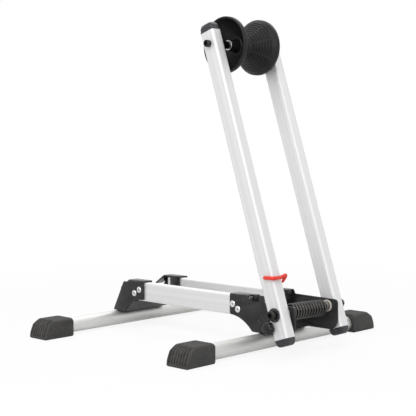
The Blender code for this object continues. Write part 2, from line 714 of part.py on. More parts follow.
def add_axle_bushes(base):
    """Flanged plastic bushes that line the bracket's axle holes and space the arms off its walls."""
    for hand, sign in (("left", -1), ("right", 1)):
        wall, end = WALL_OUTER_X + GAP, ARM_INNER_X - GAP
        profile = [(9.6, end), (9.6, wall), (8.0, wall), (8.0, 43.6), (6.8, 43.6), (6.8, end)]
        place = (0, AXLE_Y, AXLE_Z)
        bush = turned(f"{hand}_axle_bush", profile, base, place, 20, closed=True)
        if sign < 0:
            bush.rotation_euler = (0.0, -math.pi / 2, 0.0)
        finish(bush, "natural_nylon")


def spring_path():
    """The wire's points: the fixed leg, and then the turns from left to right."""
    hole_y, hole_z = SPRING_HOLE
    reach = Vector((hole_y - AXLE_Y, hole_z - AXLE_Z))
    start = math.atan2(reach.y, reach.x) - math.acos(SPRING_RADIUS / reach.length)
    path = [Vector((-47.6, hole_y, hole_z)), Vector((SPRING_START_X - 3.2, hole_y, hole_z))]
    path.append(Vector((SPRING_START_X - 1.0, hole_y - 1.0, hole_z)))
    path.append(Vector((SPRING_START_X, hole_y - 3.2, hole_z + 0.1)))
    count = SPRING_TURNS * SPRING_POINTS
    for index in range(count + 1):
        share = index / count
        angle = start - 2 * math.pi * SPRING_TURNS * share
        y = AXLE_Y + SPRING_RADIUS * math.cos(angle)
        z = AXLE_Z + SPRING_RADIUS * math.sin(angle)
        z += SPRING_LEFT_RISE * (1 - share) - SPRING_RIGHT_SAG * share
        path.append(Vector((SPRING_START_X + SPRING_PITCH * SPRING_TURNS * share, y, z)))
    return path


def least_gap(path, wire):
    """Smallest clear distance between two runs of the wire more than a third of a turn apart."""
    finer = []
    for first, second in zip(path, path[1:]):
        finer += [first.lerp(second, step / 3) for step in range(3)]
    apart = SPRING_POINTS
    nearest = min(
        (finer[i] - finer[j]).length
        for i in range(len(finer))
        for j in range(i + apart, len(finer))
        if j - i < 8 * SPRING_POINTS
    )
    return nearest - wire


def add_spring(base):
    """Torsion spring wound round the axle's sleeve, in one unbroken wire."""
    path = spring_path()
    gap = least_gap(path, SPRING_WIRE)
    print(f"torsion_spring: {SPRING_TURNS} turns, least gap to itself {gap:.2f} mm")
    spring = wire_curve("torsion_spring", path, SPRING_WIRE / 2, base)
    finish(spring, "black_steel")


def cone_profile():
    """Section of a roller half from its middle (height 0) to its outer rim, as (radius, height)."""
    outer = ROLLER_HALF_LENGTH
    return [
        (ROLLER_RADIUS - 1.4, outer),
        (ROLLER_RADIUS, outer - 1.4),
        (ROLLER_RADIUS, outer - 6.2),
        (ROLLER_RADIUS - 1.2, outer - 7.6),
        (13.5, 2.6),
        (12.0, GAP / 2),
        (4.3, GAP / 2),
        (4.3, ROLLER_HUB_END),
        (7.5, ROLLER_HUB_END),
        (8.5, 13.0),
        (13.0, 10.5),
        (ROLLER_RADIUS - 4.6, outer - 6.0),
        (ROLLER_RADIUS - 3.4, outer),
    ]


def add_roller(axle):
    """Two dished plastic cones back to back, which turn together and centre the tyre."""
    for hand, sign in (("left", -1), ("right", 1)):
        half = turned(f"{hand}_roller_cone", cone_profile(), axle, (0, 0, 0), 32, closed=True)
        if sign < 0:
            half.rotation_euler = (0.0, -math.pi / 2, 0.0)
        finish(half, "black_plastic")


def add_roller_bolt(pivot):
    """Screw, sleeve, spacers and nut that carry the roller between the arms."""
    place = (0, 0, ROLLER_AT)
    near = -(ARM_OUTER_X + GAP)
    far = ARM_OUTER_X + GAP
    cap_screw("roller_screw", 5.0, 6.0, 2.9, near, far + 8.4, 5.0, pivot, place)
    end = ARM_INNER_X - GAP
    finish(ring("roller_sleeve", 3.3, 4.0, -end, end, pivot, place), "steel")
    # Each spacer has a collar against the roller's hub.
    hub = ROLLER_HUB_END + GAP
    profile = [(5.4, end), (5.4, hub + 1.2), (7.1, hub + 1.2), (7.1, hub), (4.3, hub), (4.3, end)]
    for hand, sign in (("left", -1), ("right", 1)):
        spacer = turned(f"{hand}_roller_spacer", profile, pivot, place, 20, closed=True)
        if sign < 0:
            spacer.rotation_euler = (0.0, -math.pi / 2, 0.0)
        finish(spacer, "steel")
    lock_nut("roller_nut", 10.0, 6.0, 3.2, far, pivot, place)


def add_latch(latch_pivot):
    """Coated wire hook that turns in the left arm and reaches across its front to its inner side."""
    outside = -(ARM_OUTER_X + GAP + 2.6)
    front = -(ARM_DEPTH / 2 + 2.9)
    inside = -42.2
    corners = [
        (-(ARM_OUTER_X - 8.0), 0.0, 0.0, 0.0),
        (outside, 0.0, 0.0, 2.6),
        (outside, front, -1.6, 3.2),
        (inside, front, -1.0, 3.2),
        (inside, front + 10.2, -9.8, 0.0),
    ]
    path = bent_path(corners)
    latch = wire_curve("latch_hook", path, LATCH_WIRE / 2, latch_pivot, sides=2, taper=(0.45,))
    finish(latch, "red_coating")


def stop_screw_place():
    """Y and Z of the stop screw, worked out from its place beside the tilted arm."""
    sine, cosine = math.sin(ARM_TILT), math.cos(ARM_TILT)
    y = AXLE_Y + STOP_SCREW_BEHIND * cosine + STOP_SCREW_ALONG * sine
    z = AXLE_Z - STOP_SCREW_BEHIND * sine + STOP_SCREW_ALONG * cosine
    return y, z


def lobed(radius, lobes=6, depth=1.3, points=48):
    """Outline of a hand knob: a circle with evenly spaced hollows."""
    outline = []
    for index in range(points):
        angle = 2 * math.pi * index / points
        reach = radius - depth * (1 - abs(math.cos(lobes * angle / 2)) ** 0.8)
        outline.append((reach * math.cos(angle), reach * math.sin(angle)))
    return outline


def add_stop_screw(axis):
    """Lobed knob on a screw behind the left arm, which stops the arms from tipping forward."""
    face = -(ARM_OUTER_X + GAP)
    sections = [(lobed(8.8), 0.0), (lobed(9.6), 1.2), (lobed(9.4), 3.2), (lobed(8.3), 5.6)]
    sections += [(lobed(6.6, depth=0.8), 7.3), (lobed(4.4, depth=0.3), 8.0)]
    knob = lofted("stop_knob", sections, axis, (face, 0, 0))
    knob.data.transform(Matrix.Rotation(-math.pi / 2, 4, "Y"))
    bore = rod_cutter("stop_knob_bore", STOP_SCREW_RADIUS + GAP, face - 5.4, face + 4.0, axis)
    cut(knob, bore)
    finish(knob, "black_plastic")
    inside, end = -(WALL_INNER_X - 4.0), face - 5.0
    profile = [(0.0, inside), (STOP_SCREW_RADIUS, inside), (STOP_SCREW_RADIUS, end), (0.0, end)]
    finish(turned("stop_screw", profile, axis, (0, 0, 0), 20), "steel")


PARTS = new_collection("folding_wheel_stand")
CUTTERS = new_collection("cutters")


def main():
    for obj in list(bpy.data.objects):
        bpy.data.objects.remove(obj, do_unlink=True)
    base = make_empty("base_middle", (0, BASE_MIDDLE_Y, 0))
    add_floor_tubes(base)
    add_feet(base)
    add_front_bracket(base)
    add_rear_bracket(base)
    add_bracket_screws(base)
    add_rails(base)
    add_rivets(base)
    add_axle_bushes(base)
    add_spring(base)
    pivot = make_empty("arm_pivot", (0, AXLE_Y, AXLE_Z), base, -ARM_TILT)
    add_arms(pivot)
    add_arm_caps(pivot)
    add_axle(pivot)
    add_roller_bolt(pivot)
    add_roller(make_empty("roller_axis", (0, 0, ROLLER_AT), pivot))
    add_latch(make_empty("latch_axis", (0, 0, LATCH_AT), pivot))
    add_stop_screw(make_empty("stop_screw_axis", (0, *stop_screw_place()), base))


main()
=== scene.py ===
import math

import bmesh
import bpy
from mathutils import Matrix, Vector


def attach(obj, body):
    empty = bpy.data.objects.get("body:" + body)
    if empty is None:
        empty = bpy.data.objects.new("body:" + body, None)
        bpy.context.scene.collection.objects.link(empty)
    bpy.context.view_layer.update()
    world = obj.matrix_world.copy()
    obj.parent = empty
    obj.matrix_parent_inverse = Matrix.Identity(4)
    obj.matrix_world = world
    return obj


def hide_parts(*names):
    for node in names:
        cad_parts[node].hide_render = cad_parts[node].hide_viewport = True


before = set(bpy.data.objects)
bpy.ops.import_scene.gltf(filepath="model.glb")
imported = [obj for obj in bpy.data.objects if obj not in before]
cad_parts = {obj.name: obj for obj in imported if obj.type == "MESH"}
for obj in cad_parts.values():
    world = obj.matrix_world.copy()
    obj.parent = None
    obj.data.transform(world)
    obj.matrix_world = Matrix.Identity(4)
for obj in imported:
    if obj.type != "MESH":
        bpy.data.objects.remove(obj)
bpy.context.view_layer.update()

# The studio: a pale floor in a white room with three soft lamps, seen from the front
# left through a long lens, from about two thirds of the stand's height. Its own sizes
# are metres, and those of the stand's pieces are millimetres.
CAMERA_PLACE = (-1.118732, -1.05959, 0.286777)
CAMERA_RIGHT = Vector((0.694003, -0.719959, -0.004239))
CAMERA_UP = Vector((0.049512, 0.041852, 0.997896))
CAMERA_LENS = 91.78662
CAMERA_SENSOR = 36.0
WHITE = (1.0, 1.0, 1.0, 1.0)
ROOM_STRENGTH = 0.62
FLOOR_HALF = 4.0
FLOOR_PAINT = (0.8, 0.8, 0.8, 1.0)
FLOOR_WHITE = 0.86
FLOOR_MIRRORED = 0.25
SHADOW_REACH = (0.35, 1.1)
LAMPS_AIM = Vector((0.0, 0.0, 0.15))


def node(tree, kind, inputs=(), **settings):
    """A node with its settings, and with inputs given by name or number as values or links."""
    made = tree.nodes.new(kind)
    for key, value in settings.items():
        setattr(made, key, value)
    for key, value in dict(inputs).items():
        if isinstance(value, bpy.types.NodeSocket):
            tree.links.new(value, made.inputs[key])
        else:
            made.inputs[key].default_value = value
    return made


def maths(tree, operation, *values):
    """The result of a Math node."""
    return node(tree, "ShaderNodeMath", enumerate(values), operation=operation).outputs[0]


def ramp(tree, value, low, high, to_low=0.0, to_high=1.0, kind="SMOOTHSTEP"):
    """The value carried smoothly from one range to another."""
    inputs = {0: value, 1: low, 2: high, 3: to_low, 4: to_high}
    return node(tree, "ShaderNodeMapRange", inputs, interpolation_type=kind).outputs[0]


def white_share(tree, mirrored):
    """How much white the camera and glass see, and the share of it that gloss mirrors."""
    rays = node(tree, "ShaderNodeLightPath").outputs
    seen = maths(tree, "MAXIMUM", rays["Is Camera Ray"], rays["Is Transmission Ray"])
    return maths(tree, "MAXIMUM", seen, maths(tree, "MULTIPLY", rays["Is Glossy Ray"], mirrored))


camera_data = bpy.data.cameras.new("camera")
camera_data.lens = CAMERA_LENS
camera_data.sensor_width = CAMERA_SENSOR
camera = bpy.data.objects.new("camera", camera_data)
bpy.context.scene.collection.objects.link(camera)
camera_back = CAMERA_RIGHT.cross(CAMERA_UP)
columns = Matrix((CAMERA_RIGHT, CAMERA_UP, camera_back)).transposed()
camera.matrix_world = Matrix.Translation(CAMERA_PLACE) @ columns.to_4x4()
bpy.context.scene.camera = camera
bpy.context.scene.view_settings.view_transform = "Standard"

world = bpy.data.worlds.new("white_room")
bpy.context.scene.world = world
world.use_nodes = True
room = world.node_tree
room.nodes.clear()
room_light = node(room, "ShaderNodeBackground", {"Color": WHITE, "Strength": ROOM_STRENGTH})
room_white = node(room, "ShaderNodeBackground", {"Color": WHITE, "Strength": 1.0})
room_sides = {0: white_share(room, 1.0), 1: room_light.outputs[0], 2: room_white.outputs[0]}
room_mix = node(room, "ShaderNodeMixShader", room_sides)
node(room, "ShaderNodeOutputWorld", {"Surface": room_mix.outputs[0]})

floor_paint = bpy.data.materials.new("pale_floor")
floor_paint.use_nodes = True
ground = floor_paint.node_tree
ground.nodes.clear()
ground_plain = node(ground, "ShaderNodeBsdfDiffuse", {"Color": FLOOR_PAINT})
ground_white = node(ground, "ShaderNodeEmission", {"Color": WHITE, "Strength": 1.0})
ground_place = node(ground, "ShaderNodeTexCoord").outputs["Object"]
ground_reach = node(ground, "ShaderNodeVectorMath", {0: ground_place}, operation="LENGTH").outputs["Value"]
ground_bright = ramp(ground, ground_reach, *SHADOW_REACH, FLOOR_WHITE, 1.0)
ground_share = maths(ground, "MULTIPLY", white_share(ground, FLOOR_MIRRORED), ground_bright)
ground_sides = {0: ground_share, 1: ground_plain.outputs[0], 2: ground_white.outputs[0]}
ground_mix = node(ground, "ShaderNodeMixShader", ground_sides)
node(ground, "ShaderNodeOutputMaterial", {"Surface": ground_mix.outputs[0]})
floor_mesh = bpy.data.meshes.new("floor")
floor_corners = [(x * FLOOR_HALF, y * FLOOR_HALF, 0.0) for x, y in ((-1, -1), (1, -1), (1, 1), (-1, 1))]
floor_mesh.from_pydata(floor_corners, [], [(0, 1, 2, 3)])
floor_mesh.materials.append(floor_paint)
floor = bpy.data.objects.new("floor", floor_mesh)
bpy.context.scene.collection.objects.link(floor)


def soft_lamp(name, place, size, power):
    """A square lamp that faces the middle of the stand."""
    lamp = bpy.data.lights.new(name, "AREA")
    lamp.size = size
    lamp.energy = power
    holder = bpy.data.objects.new(name, lamp)
    holder.location = place
    holder.rotation_euler = (LAMPS_AIM - holder.location).to_track_quat("-Z", "Y").to_euler()
    bpy.context.scene.collection.objects.link(holder)


soft_lamp("key_lamp", (-1.5, -0.6, 1.5), 1.3, 18.0)
soft_lamp("front_lamp", (-1.15, -1.35, 0.75), 0.4, 4.0)
soft_lamp("top_lamp", (0.6, 0.2, 2.0), 1.6, 15.0)

# The two floor tubes: round drawn aluminium, anodised satin silver, that run from boot
# to boot. Their ends stay hidden in the boots.
MM = 0.001
BASE_MIDDLE_Y = 26.03
BASE_MIDDLE = Matrix.Translation((0.0, BASE_MIDDLE_Y * MM, 0.0))
FLOOR_TUBE_RADIUS = 11.0
FLOOR_TUBE_WALL = 1.5
FLOOR_TUBE_HALF = 184.0
FLOOR_TUBE_Y = 146.7
FLOOR_TUBE_Z = 12.5
TUBE_SIDES = 72
BEVEL_FROM = math.radians(35)
ENDS = (("front", -1), ("rear", 1))
Z_TO_X = Matrix.Rotation(math.pi / 2, 4, "Y")
TUBE_SILVER = (0.73, 0.73, 0.715, 1.0)
TUBE_SILVER_DARK = (0.64, 0.64, 0.625, 1.0)


def new_group(name, inputs, outputs, kind="ShaderNodeTree"):
    """A node group with its sockets. Returns it with its input node and its output node."""
    tree = bpy.data.node_groups.new(name, kind)
    for label, socket, value in inputs:
        made = tree.interface.new_socket(label, in_out="INPUT", socket_type=socket)
        if value is not None:
            made.default_value = value
    for label, socket in outputs:
        tree.interface.new_socket(label, in_out="OUTPUT", socket_type=socket)
    return tree, node(tree, "NodeGroupInput"), node(tree, "NodeGroupOutput")


def put_out(tree, result, *values):
    """Links a group's results to its outputs, in their order."""
    for value, socket in zip(values, result.inputs):
        tree.links.new(value, socket)
    return tree


def noise(tree, vector, scale, detail=2.0, rough=0.5, distort=0.0):
    """The value of a noise, in cells of the vector."""
    inputs = {"Vector": vector, "Scale": scale, "Detail": detail, "Roughness": rough, "Distortion": distort}
    return node(tree, "ShaderNodeTexNoise", inputs).outputs[0]


LOOKS = [("Tone", "NodeSocketFloat"), ("Fine", "NodeSocketFloat"), ("Height", "NodeSocketFloat")]


def drawn_metal_group():
    """Lines left by the die along a drawn tube, clouded anodising and a few fine scratches."""
    tree, given, result = new_group("drawn_metal", [("Vector", "NodeSocketVector", None)], LOOKS)
    cells = given.outputs["Vector"]
    lines = noise(tree, cells, 1.0, 3.0, 0.6)
    bands = noise(tree, cells, 0.13, 2.0, 0.5)
    clouds = noise(tree, cells, 0.035, 3.0, 0.55)
    hairs = ramp(tree, noise(tree, cells, 0.6, 1.0, 0.4), 0.70, 0.76)
    shade = maths(tree, "MULTIPLY_ADD", bands, 0.55, maths(tree, "MULTIPLY", clouds, 0.45))
    tone = ramp(tree, shade, 0.36, 0.66)
    fine = maths(tree, "MULTIPLY_ADD", lines, 0.7, maths(tree, "MULTIPLY", hairs, 0.3))
    height = maths(tree, "MULTIPLY_ADD", bands, 0.8, maths(tree, "SUBTRACT", lines, hairs))
    return put_out(tree, result, tone, fine, height)


def finish_material(
    name, colours, metallic, roughness, cell, bump,
    group=None, turn=0.0, wear_and_sheen=None, wear_and_sheen_from=(0.52, 0.60), **sockets,
):
    """A surface whose colour, gloss and relief follow a group's masks, or the moulded skin's.

    colours are the group's low and high Tone, roughness the low and high Fine, cell the
    size of the pattern along X, Y and Z, bump its depth, and turn its slope about X.
    wear_and_sheen gives a colour, a share and a change of roughness for sharp edges,
    which stand for wear on some surfaces and are a painted highlight on others, and
    wear_and_sheen_from how sharp they are. sockets are set on the shader as they are.
    """
    material = bpy.data.materials.new(name)
    material.use_nodes = True
    tree = material.node_tree
    shader = tree.nodes["Principled BSDF"]
    place = node(tree, "ShaderNodeTexCoord").outputs["Object"]
    size = [value * MM for value in cell]
    lay = {"Vector": place, "Rotation": (turn, 0.0, 0.0), "Scale": size}
    cells = node(tree, "ShaderNodeMapping", lay, vector_type="TEXTURE").outputs[0]
    masks = node(tree, "ShaderNodeGroup", {"Vector": cells}, node_tree=group or MOULDED_SKIN)
    mix = {0: masks.outputs["Tone"], 6: colours[0], 7: colours[1]}
    colour = node(tree, "ShaderNodeMix", mix, data_type="RGBA").outputs[2]
    gloss = ramp(tree, masks.outputs["Fine"], 0.25, 0.75, *roughness, kind="LINEAR")
    if wear_and_sheen:
        edge_colour, edge_share, edge_gloss = wear_and_sheen
        edges = {"Vector": place, "Blunt": wear_and_sheen_from[0], "Sharp": wear_and_sheen_from[1]}
        edge_mask = node(tree, "ShaderNodeGroup", edges, node_tree=EDGE_WEAR_AND_SHEEN).outputs["Mask"]
        share = maths(tree, "MULTIPLY", edge_mask, edge_share)
        mix = {0: share, 6: colour, 7: edge_colour}
        colour = node(tree, "ShaderNodeMix", mix, data_type="RGBA").outputs[2]
        gloss = maths(tree, "MULTIPLY_ADD", share, edge_gloss, gloss)
    tree.links.new(colour, shader.inputs["Base Color"])
    tree.links.new(gloss, shader.inputs["Roughness"])
    relief = {"Strength": 1.0, "Distance": bump * MM, "Height": masks.outputs["Height"]}
    tree.links.new(node(tree, "ShaderNodeBump", relief).outputs[0], shader.inputs["Normal"])
    shader.inputs["Metallic"].default_value = metallic
    for label, value in sockets.items():
        shader.inputs[label.replace("_", " ")].default_value = value
    return material


DRAWN_METAL = drawn_metal_group()


def circle(radius, sides):
    """Corners of a circle."""
    turns = [2 * math.pi * index / sides for index in range(sides)]
    return [(radius * math.cos(turn), radius * math.sin(turn)) for turn in turns]


def shape_of(points, faces, turn=None):
    """A mesh from points in millimetres, moved by a matrix in metres, with its faces outwards."""
    mesh = bpy.data.meshes.new("shape")
    mesh.from_pydata([Vector(point) * MM for point in points], [], faces)
    if turn is not None:
        mesh.transform(turn)
    shape = bmesh.new()
    shape.from_mesh(mesh)
    bmesh.ops.recalc_face_normals(shape, faces=shape.faces)
    shape.to_mesh(mesh)
    shape.free()
    return mesh


def skin(rings, closed=False):
    """Points and faces of a skin over rings of equal counts, capped or joined end to end."""
    count = len(rings[0])
    points = [point for ring in rings for point in ring]
    faces = []
    pairs = list(zip(range(len(rings) - 1), range(1, len(rings))))
    if closed:
        pairs.append((len(rings) - 1, 0))
    for low, high in pairs:
        first, second = low * count, high * count
        for index in range(count):
            after = (index + 1) % count
            faces.append((first + index, first + after, second + after, second + index))
    if not closed:
        faces.append(tuple(range(count))[::-1])
        faces.append(tuple(range(len(points) - count, len(points))))
    return points, faces


def tube_rings(outer, inner, half, chamfer=0.35):
    """Rings of an open tube along Z with its edges broken."""
    small = 1.0 - chamfer / max(a for a, _ in outer)
    levels = [(outer, small, -half), (outer, 1.0, chamfer - half)]
    levels += [(outer, 1.0, half - chamfer), (outer, small, half)]
    levels += [(inner, 1.0, half), (inner, 1.0, -half)]
    return [[(a * share, b * share, z) for a, b in outline] for outline, share, z in levels]


def add_piece(name, mesh, material, body, nodes, bevel=0.0, sharp=30):
    """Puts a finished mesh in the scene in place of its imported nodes.

    bevel breaks its edges by that width, and sharp is the angle in degrees from which
    an edge between two faces stays crisp.
    """
    piece = bpy.data.objects.new(name, mesh)
    bpy.context.scene.collection.objects.link(piece)
    if bevel:
        edges = piece.modifiers.new("Broken edges", "BEVEL")
        edges.width = bevel * MM
        edges.segments = 2
        edges.limit_method = "ANGLE"
        edges.angle_limit = BEVEL_FROM
        edges.use_clamp_overlap = True
        graph = bpy.context.evaluated_depsgraph_get()
        bevelled = bpy.data.meshes.new_from_object(piece.evaluated_get(graph))
        piece.modifiers.clear()
        piece.data = bevelled
    piece.data.name = name
    piece.data.materials.clear()
    piece.data.materials.append(material)
    piece.data.shade_smooth()
    piece.data.set_sharp_from_angle(angle=math.radians(sharp))
    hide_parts(*nodes)
    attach(piece, body)


floor_tube_metal = finish_material(
    "satin_aluminium_floor_tubes",
    colours=(TUBE_SILVER_DARK, TUBE_SILVER),
    metallic=1.0,
    roughness=(0.54, 0.66),
    cell=(70.0, 0.5, 0.5),
    bump=0.005,
    group=DRAWN_METAL,
)
for side, end in ENDS:
    outer = circle(FLOOR_TUBE_RADIUS, TUBE_SIDES)
    inner = circle(FLOOR_TUBE_RADIUS - FLOOR_TUBE_WALL, TUBE_SIDES)
    rings = tube_rings(outer, inner, FLOOR_TUBE_HALF)
    at = BASE_MIDDLE @ Matrix.Translation((0.0, FLOOR_TUBE_Y * end * MM, FLOOR_TUBE_Z * MM)) @ Z_TO_X
    mesh = shape_of(*skin(rings, closed=True), at)
    name = f"{side}_floor_tube"
    add_piece(f"{name}_drawn", mesh, floor_tube_metal, "base", [name])

# Rubber boots, moulded in one piece and pushed over the tube ends. Seven grooves run
# down each end face, over its edge and, less deep, along the top to the tube's side,
# where they end in short notches.
FOOT_LENGTH = 52.0
FOOT_WIDTH = 38.5
FOOT_HEIGHT = 27.2
FOOT_MIDDLE_Y = 143.25
BASE_HALF_LENGTH = 200.0
FOOT_TOP_EDGE = 6.0
FOOT_TOP_RIDGE = 0.5
FOOT_SIDE_EDGE = 1.8
FOOT_LOW_EDGE = 2.4
FOOT_STATIONS = 120
FOOT_SPACING = 0.7
CORNER_STEPS = 8
CROWDED_SHARE, EVEN_SHARE = 0.45, 0.55
GROOVE_PITCH = 4.8
GROOVE_WIDTH = 2.1
GROOVE_DEPTH = 1.5
GROOVE_SOFT_EDGE = 0.7
GROOVE_REACH = 16.4
TOP_GRIP = 0.4
END_GRIP_FROM, END_GRIP_BLEND = 32.0, 5.0
END_FOOT_PLAIN, END_FOOT_BLEND = 3.0, 1.5
MOUTH_GRIP = 0.9
MOUTH_REACH = 7.0
NOTCH_DEPTH, NOTCH_BLEND = 4.0, 2.0
BORE_SPARE = 0.2
BORE_FROM, BORE_TO = -5.0, 38.0
# The side view: distance from the tube's side, height and radius of each corner.
FOOT_SIDE = (
    (0.0, 0.0, 3.0),
    (0.0, FOOT_HEIGHT, 4.5),
    (FOOT_LENGTH - 15.5, FOOT_HEIGHT, 8.0),
    (FOOT_LENGTH - 6.0, FOOT_HEIGHT - 6.2, 7.0),
    (FOOT_LENGTH - 1.0, 8.0, 6.0),
    (FOOT_LENGTH, 1.4, 0.6),
    (FOOT_LENGTH - 1.4, 0.0, 0.6),
)


def rounded(corners, spacing=0.0):
    """Closed outline round (a, b, radius) corners, split evenly where a spacing is given."""
    outline = []
    for index, (a, b, radius) in enumerate(corners):
        here = Vector((a, b))
        before = Vector(corners[index - 1][:2]) - here
        after = Vector(corners[(index + 1) % len(corners)][:2]) - here
        reach = radius / math.tan(before.angle(after) / 2) if radius else 0.0
        start, end = here + before.normalized() * reach, here + after.normalized() * reach
        count = CORNER_STEPS if radius else 0
        for step in range(count + 1):
            t = step / max(count, 1)
            point = start * (1 - t) ** 2 + here * 2 * t * (1 - t) + end * t**2
            outline.append((point.x, point.y))
    if not spacing:
        return outline
    split = []
    for first, second in zip(outline, outline[1:] + outline[:1]):
        first, second = Vector(first), Vector(second)
        count = max(1, round((second - first).length / spacing))
        split += [tuple(first.lerp(second, step / count)) for step in range(count)]
    return split


def new_shape_tree(name, inputs):
    """A Geometry Nodes tree whose inputs start with its Geometry and end with its Finish."""
    inputs = [("Geometry", "NodeSocketGeometry", None), *inputs, ("Finish", "NodeSocketMaterial", None)]
    return new_group(name, inputs, [("Geometry", "NodeSocketGeometry")], "GeometryNodeTree")


def end_shape_tree(tree, geometry, given, result):
    """Makes a tree's copies real, sets its material and puts the shape out."""
    whole = node(tree, "GeometryNodeRealizeInstances", {"Geometry": geometry}).outputs[0]
    coat = {"Geometry": whole, "Material": given.outputs["Finish"]}
    return put_out(tree, result, node(tree, "GeometryNodeSetMaterial", coat).outputs[0])


def stored(tree, name):
    """A number that the mesh carries at each point."""
    return node(tree, "GeometryNodeInputNamedAttribute", {"Name": name}, data_type="FLOAT").outputs[0]


def relief_tree():
    """Sinks grooves at an even pitch into a mesh, and straight lines round an axis across them.

    The mesh carries along, its distance across the grooves, and grip, which is 1 where
    they are at full depth. Lines also need around, its angle, and reach, its distance
    from the axis.
    """
    sizes = [("Pitch", 4.8), ("Groove width", 2.0), ("Soft edge", 0.5), ("Depth", 1.0)]
    sizes += [("Sectors", 8.0), ("Line width", 1.0), ("Line share", 0.0)]
    inputs = [(label, "NodeSocketFloat", value) for label, value in sizes]
    tree, given, result = new_shape_tree("moulded_relief", inputs)
    value = given.outputs

    def off_nearest(turns, spacing):
        """Distance to the nearest whole turn."""
        return maths(tree, "MULTIPLY", maths(tree, "PINGPONG", turns, 0.5), spacing)

    def sunk(distance, width):
        """1 inside a groove of this width and 0 beside it, with a soft edge between."""
        half_edge = maths(tree, "MULTIPLY", value["Soft edge"], 0.5)
        inner = maths(tree, "SUBTRACT", maths(tree, "MULTIPLY", width, 0.5), half_edge)
        outer = maths(tree, "MULTIPLY_ADD", width, 0.5, half_edge)
        return ramp(tree, distance, inner, outer, 1.0, 0.0)

    across = maths(tree, "DIVIDE", stored(tree, "along"), value["Pitch"])
    grooves = sunk(off_nearest(across, value["Pitch"]), value["Groove width"])
    turned = maths(tree, "MULTIPLY", stored(tree, "around"), value["Sectors"])
    turns = maths(tree, "DIVIDE", turned, 2 * math.pi)
    girth = maths(tree, "MULTIPLY", stored(tree, "reach"), 2 * math.pi)
    arc = maths(tree, "DIVIDE", girth, value["Sectors"])
    lines = sunk(off_nearest(turns, arc), value["Line width"])
    lines = maths(tree, "MULTIPLY", lines, value["Line share"])
    depth = maths(tree, "MULTIPLY", maths(tree, "MAXIMUM", grooves, lines), stored(tree, "grip"))
    depth = maths(tree, "MULTIPLY", depth, maths(tree, "MULTIPLY", value["Depth"], -MM))
    outwards = node(tree, "GeometryNodeInputNormal").outputs[0]
    move = {0: outwards, "Scale": depth}
    move = node(tree, "ShaderNodeVectorMath", move, operation="SCALE").outputs[0]
    pressed = {"Geometry": value["Geometry"], "Offset": move}
    pressed = node(tree, "GeometryNodeSetPosition", pressed).outputs[0]
    return end_shape_tree(tree, pressed, given, result)


def grown(mesh, tree, **values):
    """Runs a Geometry Nodes tree on a mesh and returns what it makes as a plain mesh."""
    carrier = bpy.data.objects.new("carrier", mesh)
    bpy.context.scene.collection.objects.link(carrier)
    modifier = carrier.modifiers.new("Grown", "NODES")
    modifier.node_group = tree
    for item in tree.interface.items_tree:
        key = item.name.replace(" ", "_").lower()
        if item.in_out == "INPUT" and key in values:
            modifier[item.identifier] = values[key]
    graph = bpy.context.evaluated_depsgraph_get()
    made = bpy.data.meshes.new_from_object(carrier.evaluated_get(graph))
    bpy.data.objects.remove(carrier, do_unlink=True)
    return made


def give(mesh, **attributes):
    """Stores a number for each point under each name."""
    for name, numbers in attributes.items():
        mesh.attributes.new(name, "FLOAT", "POINT").data.foreach_set("value", numbers)


def wear_and_sheen_group():
    """Where sharp edges take another colour, as wear on some surfaces and as a painted highlight on others:
    the mesh's own sharpness, broken up by noise.
    """
    inputs = [("Vector", "NodeSocketVector", None)]
    inputs += [("Blunt", "NodeSocketFloat", 0.52), ("Sharp", "NodeSocketFloat", 0.6)]
    tree, given, result = new_group("rubbed_edges", inputs, [("Mask", "NodeSocketFloat")])
    pointed = node(tree, "ShaderNodeNewGeometry").outputs["Pointiness"]
    sharp = ramp(tree, pointed, given.outputs["Blunt"], given.outputs["Sharp"])
    broken = ramp(tree, noise(tree, given.outputs["Vector"], 220.0, 4.0, 0.6), 0.42, 0.62)
    return put_out(tree, result, maths(tree, "MULTIPLY", sharp, broken))


def moulded_group():
    """Fine grain of a moulded or sprayed skin, with slow changes of shade and sheen."""
    tree, given, result = new_group("moulded_skin", [("Vector", "NodeSocketVector", None)], LOOKS)
    cells = given.outputs["Vector"]
    pits = node(tree, "ShaderNodeTexVoronoi", {"Vector": cells, "Scale": 1.0}).outputs["Distance"]
    grain = noise(tree, cells, 1.4, 4.0, 0.6)
    clouds = noise(tree, cells, 0.03, 4.0, 0.6)
    marks = ramp(tree, noise(tree, cells, 0.22, 2.0, 0.5, 1.2), 0.60, 0.72)
    clouded = ramp(tree, clouds, 0.35, 0.68)
    tone = maths(tree, "MULTIPLY_ADD", clouded, 0.75, maths(tree, "MULTIPLY", marks, 0.25))
    fine = maths(tree, "MULTIPLY_ADD", grain, 0.6, maths(tree, "MULTIPLY", clouds, 0.4))
    height = maths(tree, "MULTIPLY_ADD", pits, 0.6, grain)
    return put_out(tree, result, tone, fine, height)


EDGE_WEAR_AND_SHEEN = wear_and_sheen_group()
MOULDED_SKIN = moulded_group()
MOULDED_RELIEF = relief_tree()
# The boots' sharp edges, along the top ridge and on the lands between the grooves, take a much lighter
# colour here: a painted highlight for the light those edges catch.
rubber = finish_material(
    "matt_rubber",
    colours=((0.024, 0.023, 0.0225, 1.0), (0.042, 0.040, 0.0385, 1.0)),
    metallic=0.0,
    roughness=(0.46, 0.66),
    cell=(0.5, 0.5, 0.5),
    bump=0.03,
    wear_and_sheen=((0.20, 0.185, 0.17, 1.0), 0.75, 0.1),
    wear_and_sheen_from=(0.505, 0.56),
    Specular_IOR_Level=0.4,
)


def rounded_in(depth, radius):
    """How far a rounded edge stands back at a depth from the side face."""
    return radius - math.sqrt(radius**2 - max(0.0, radius - depth) ** 2)


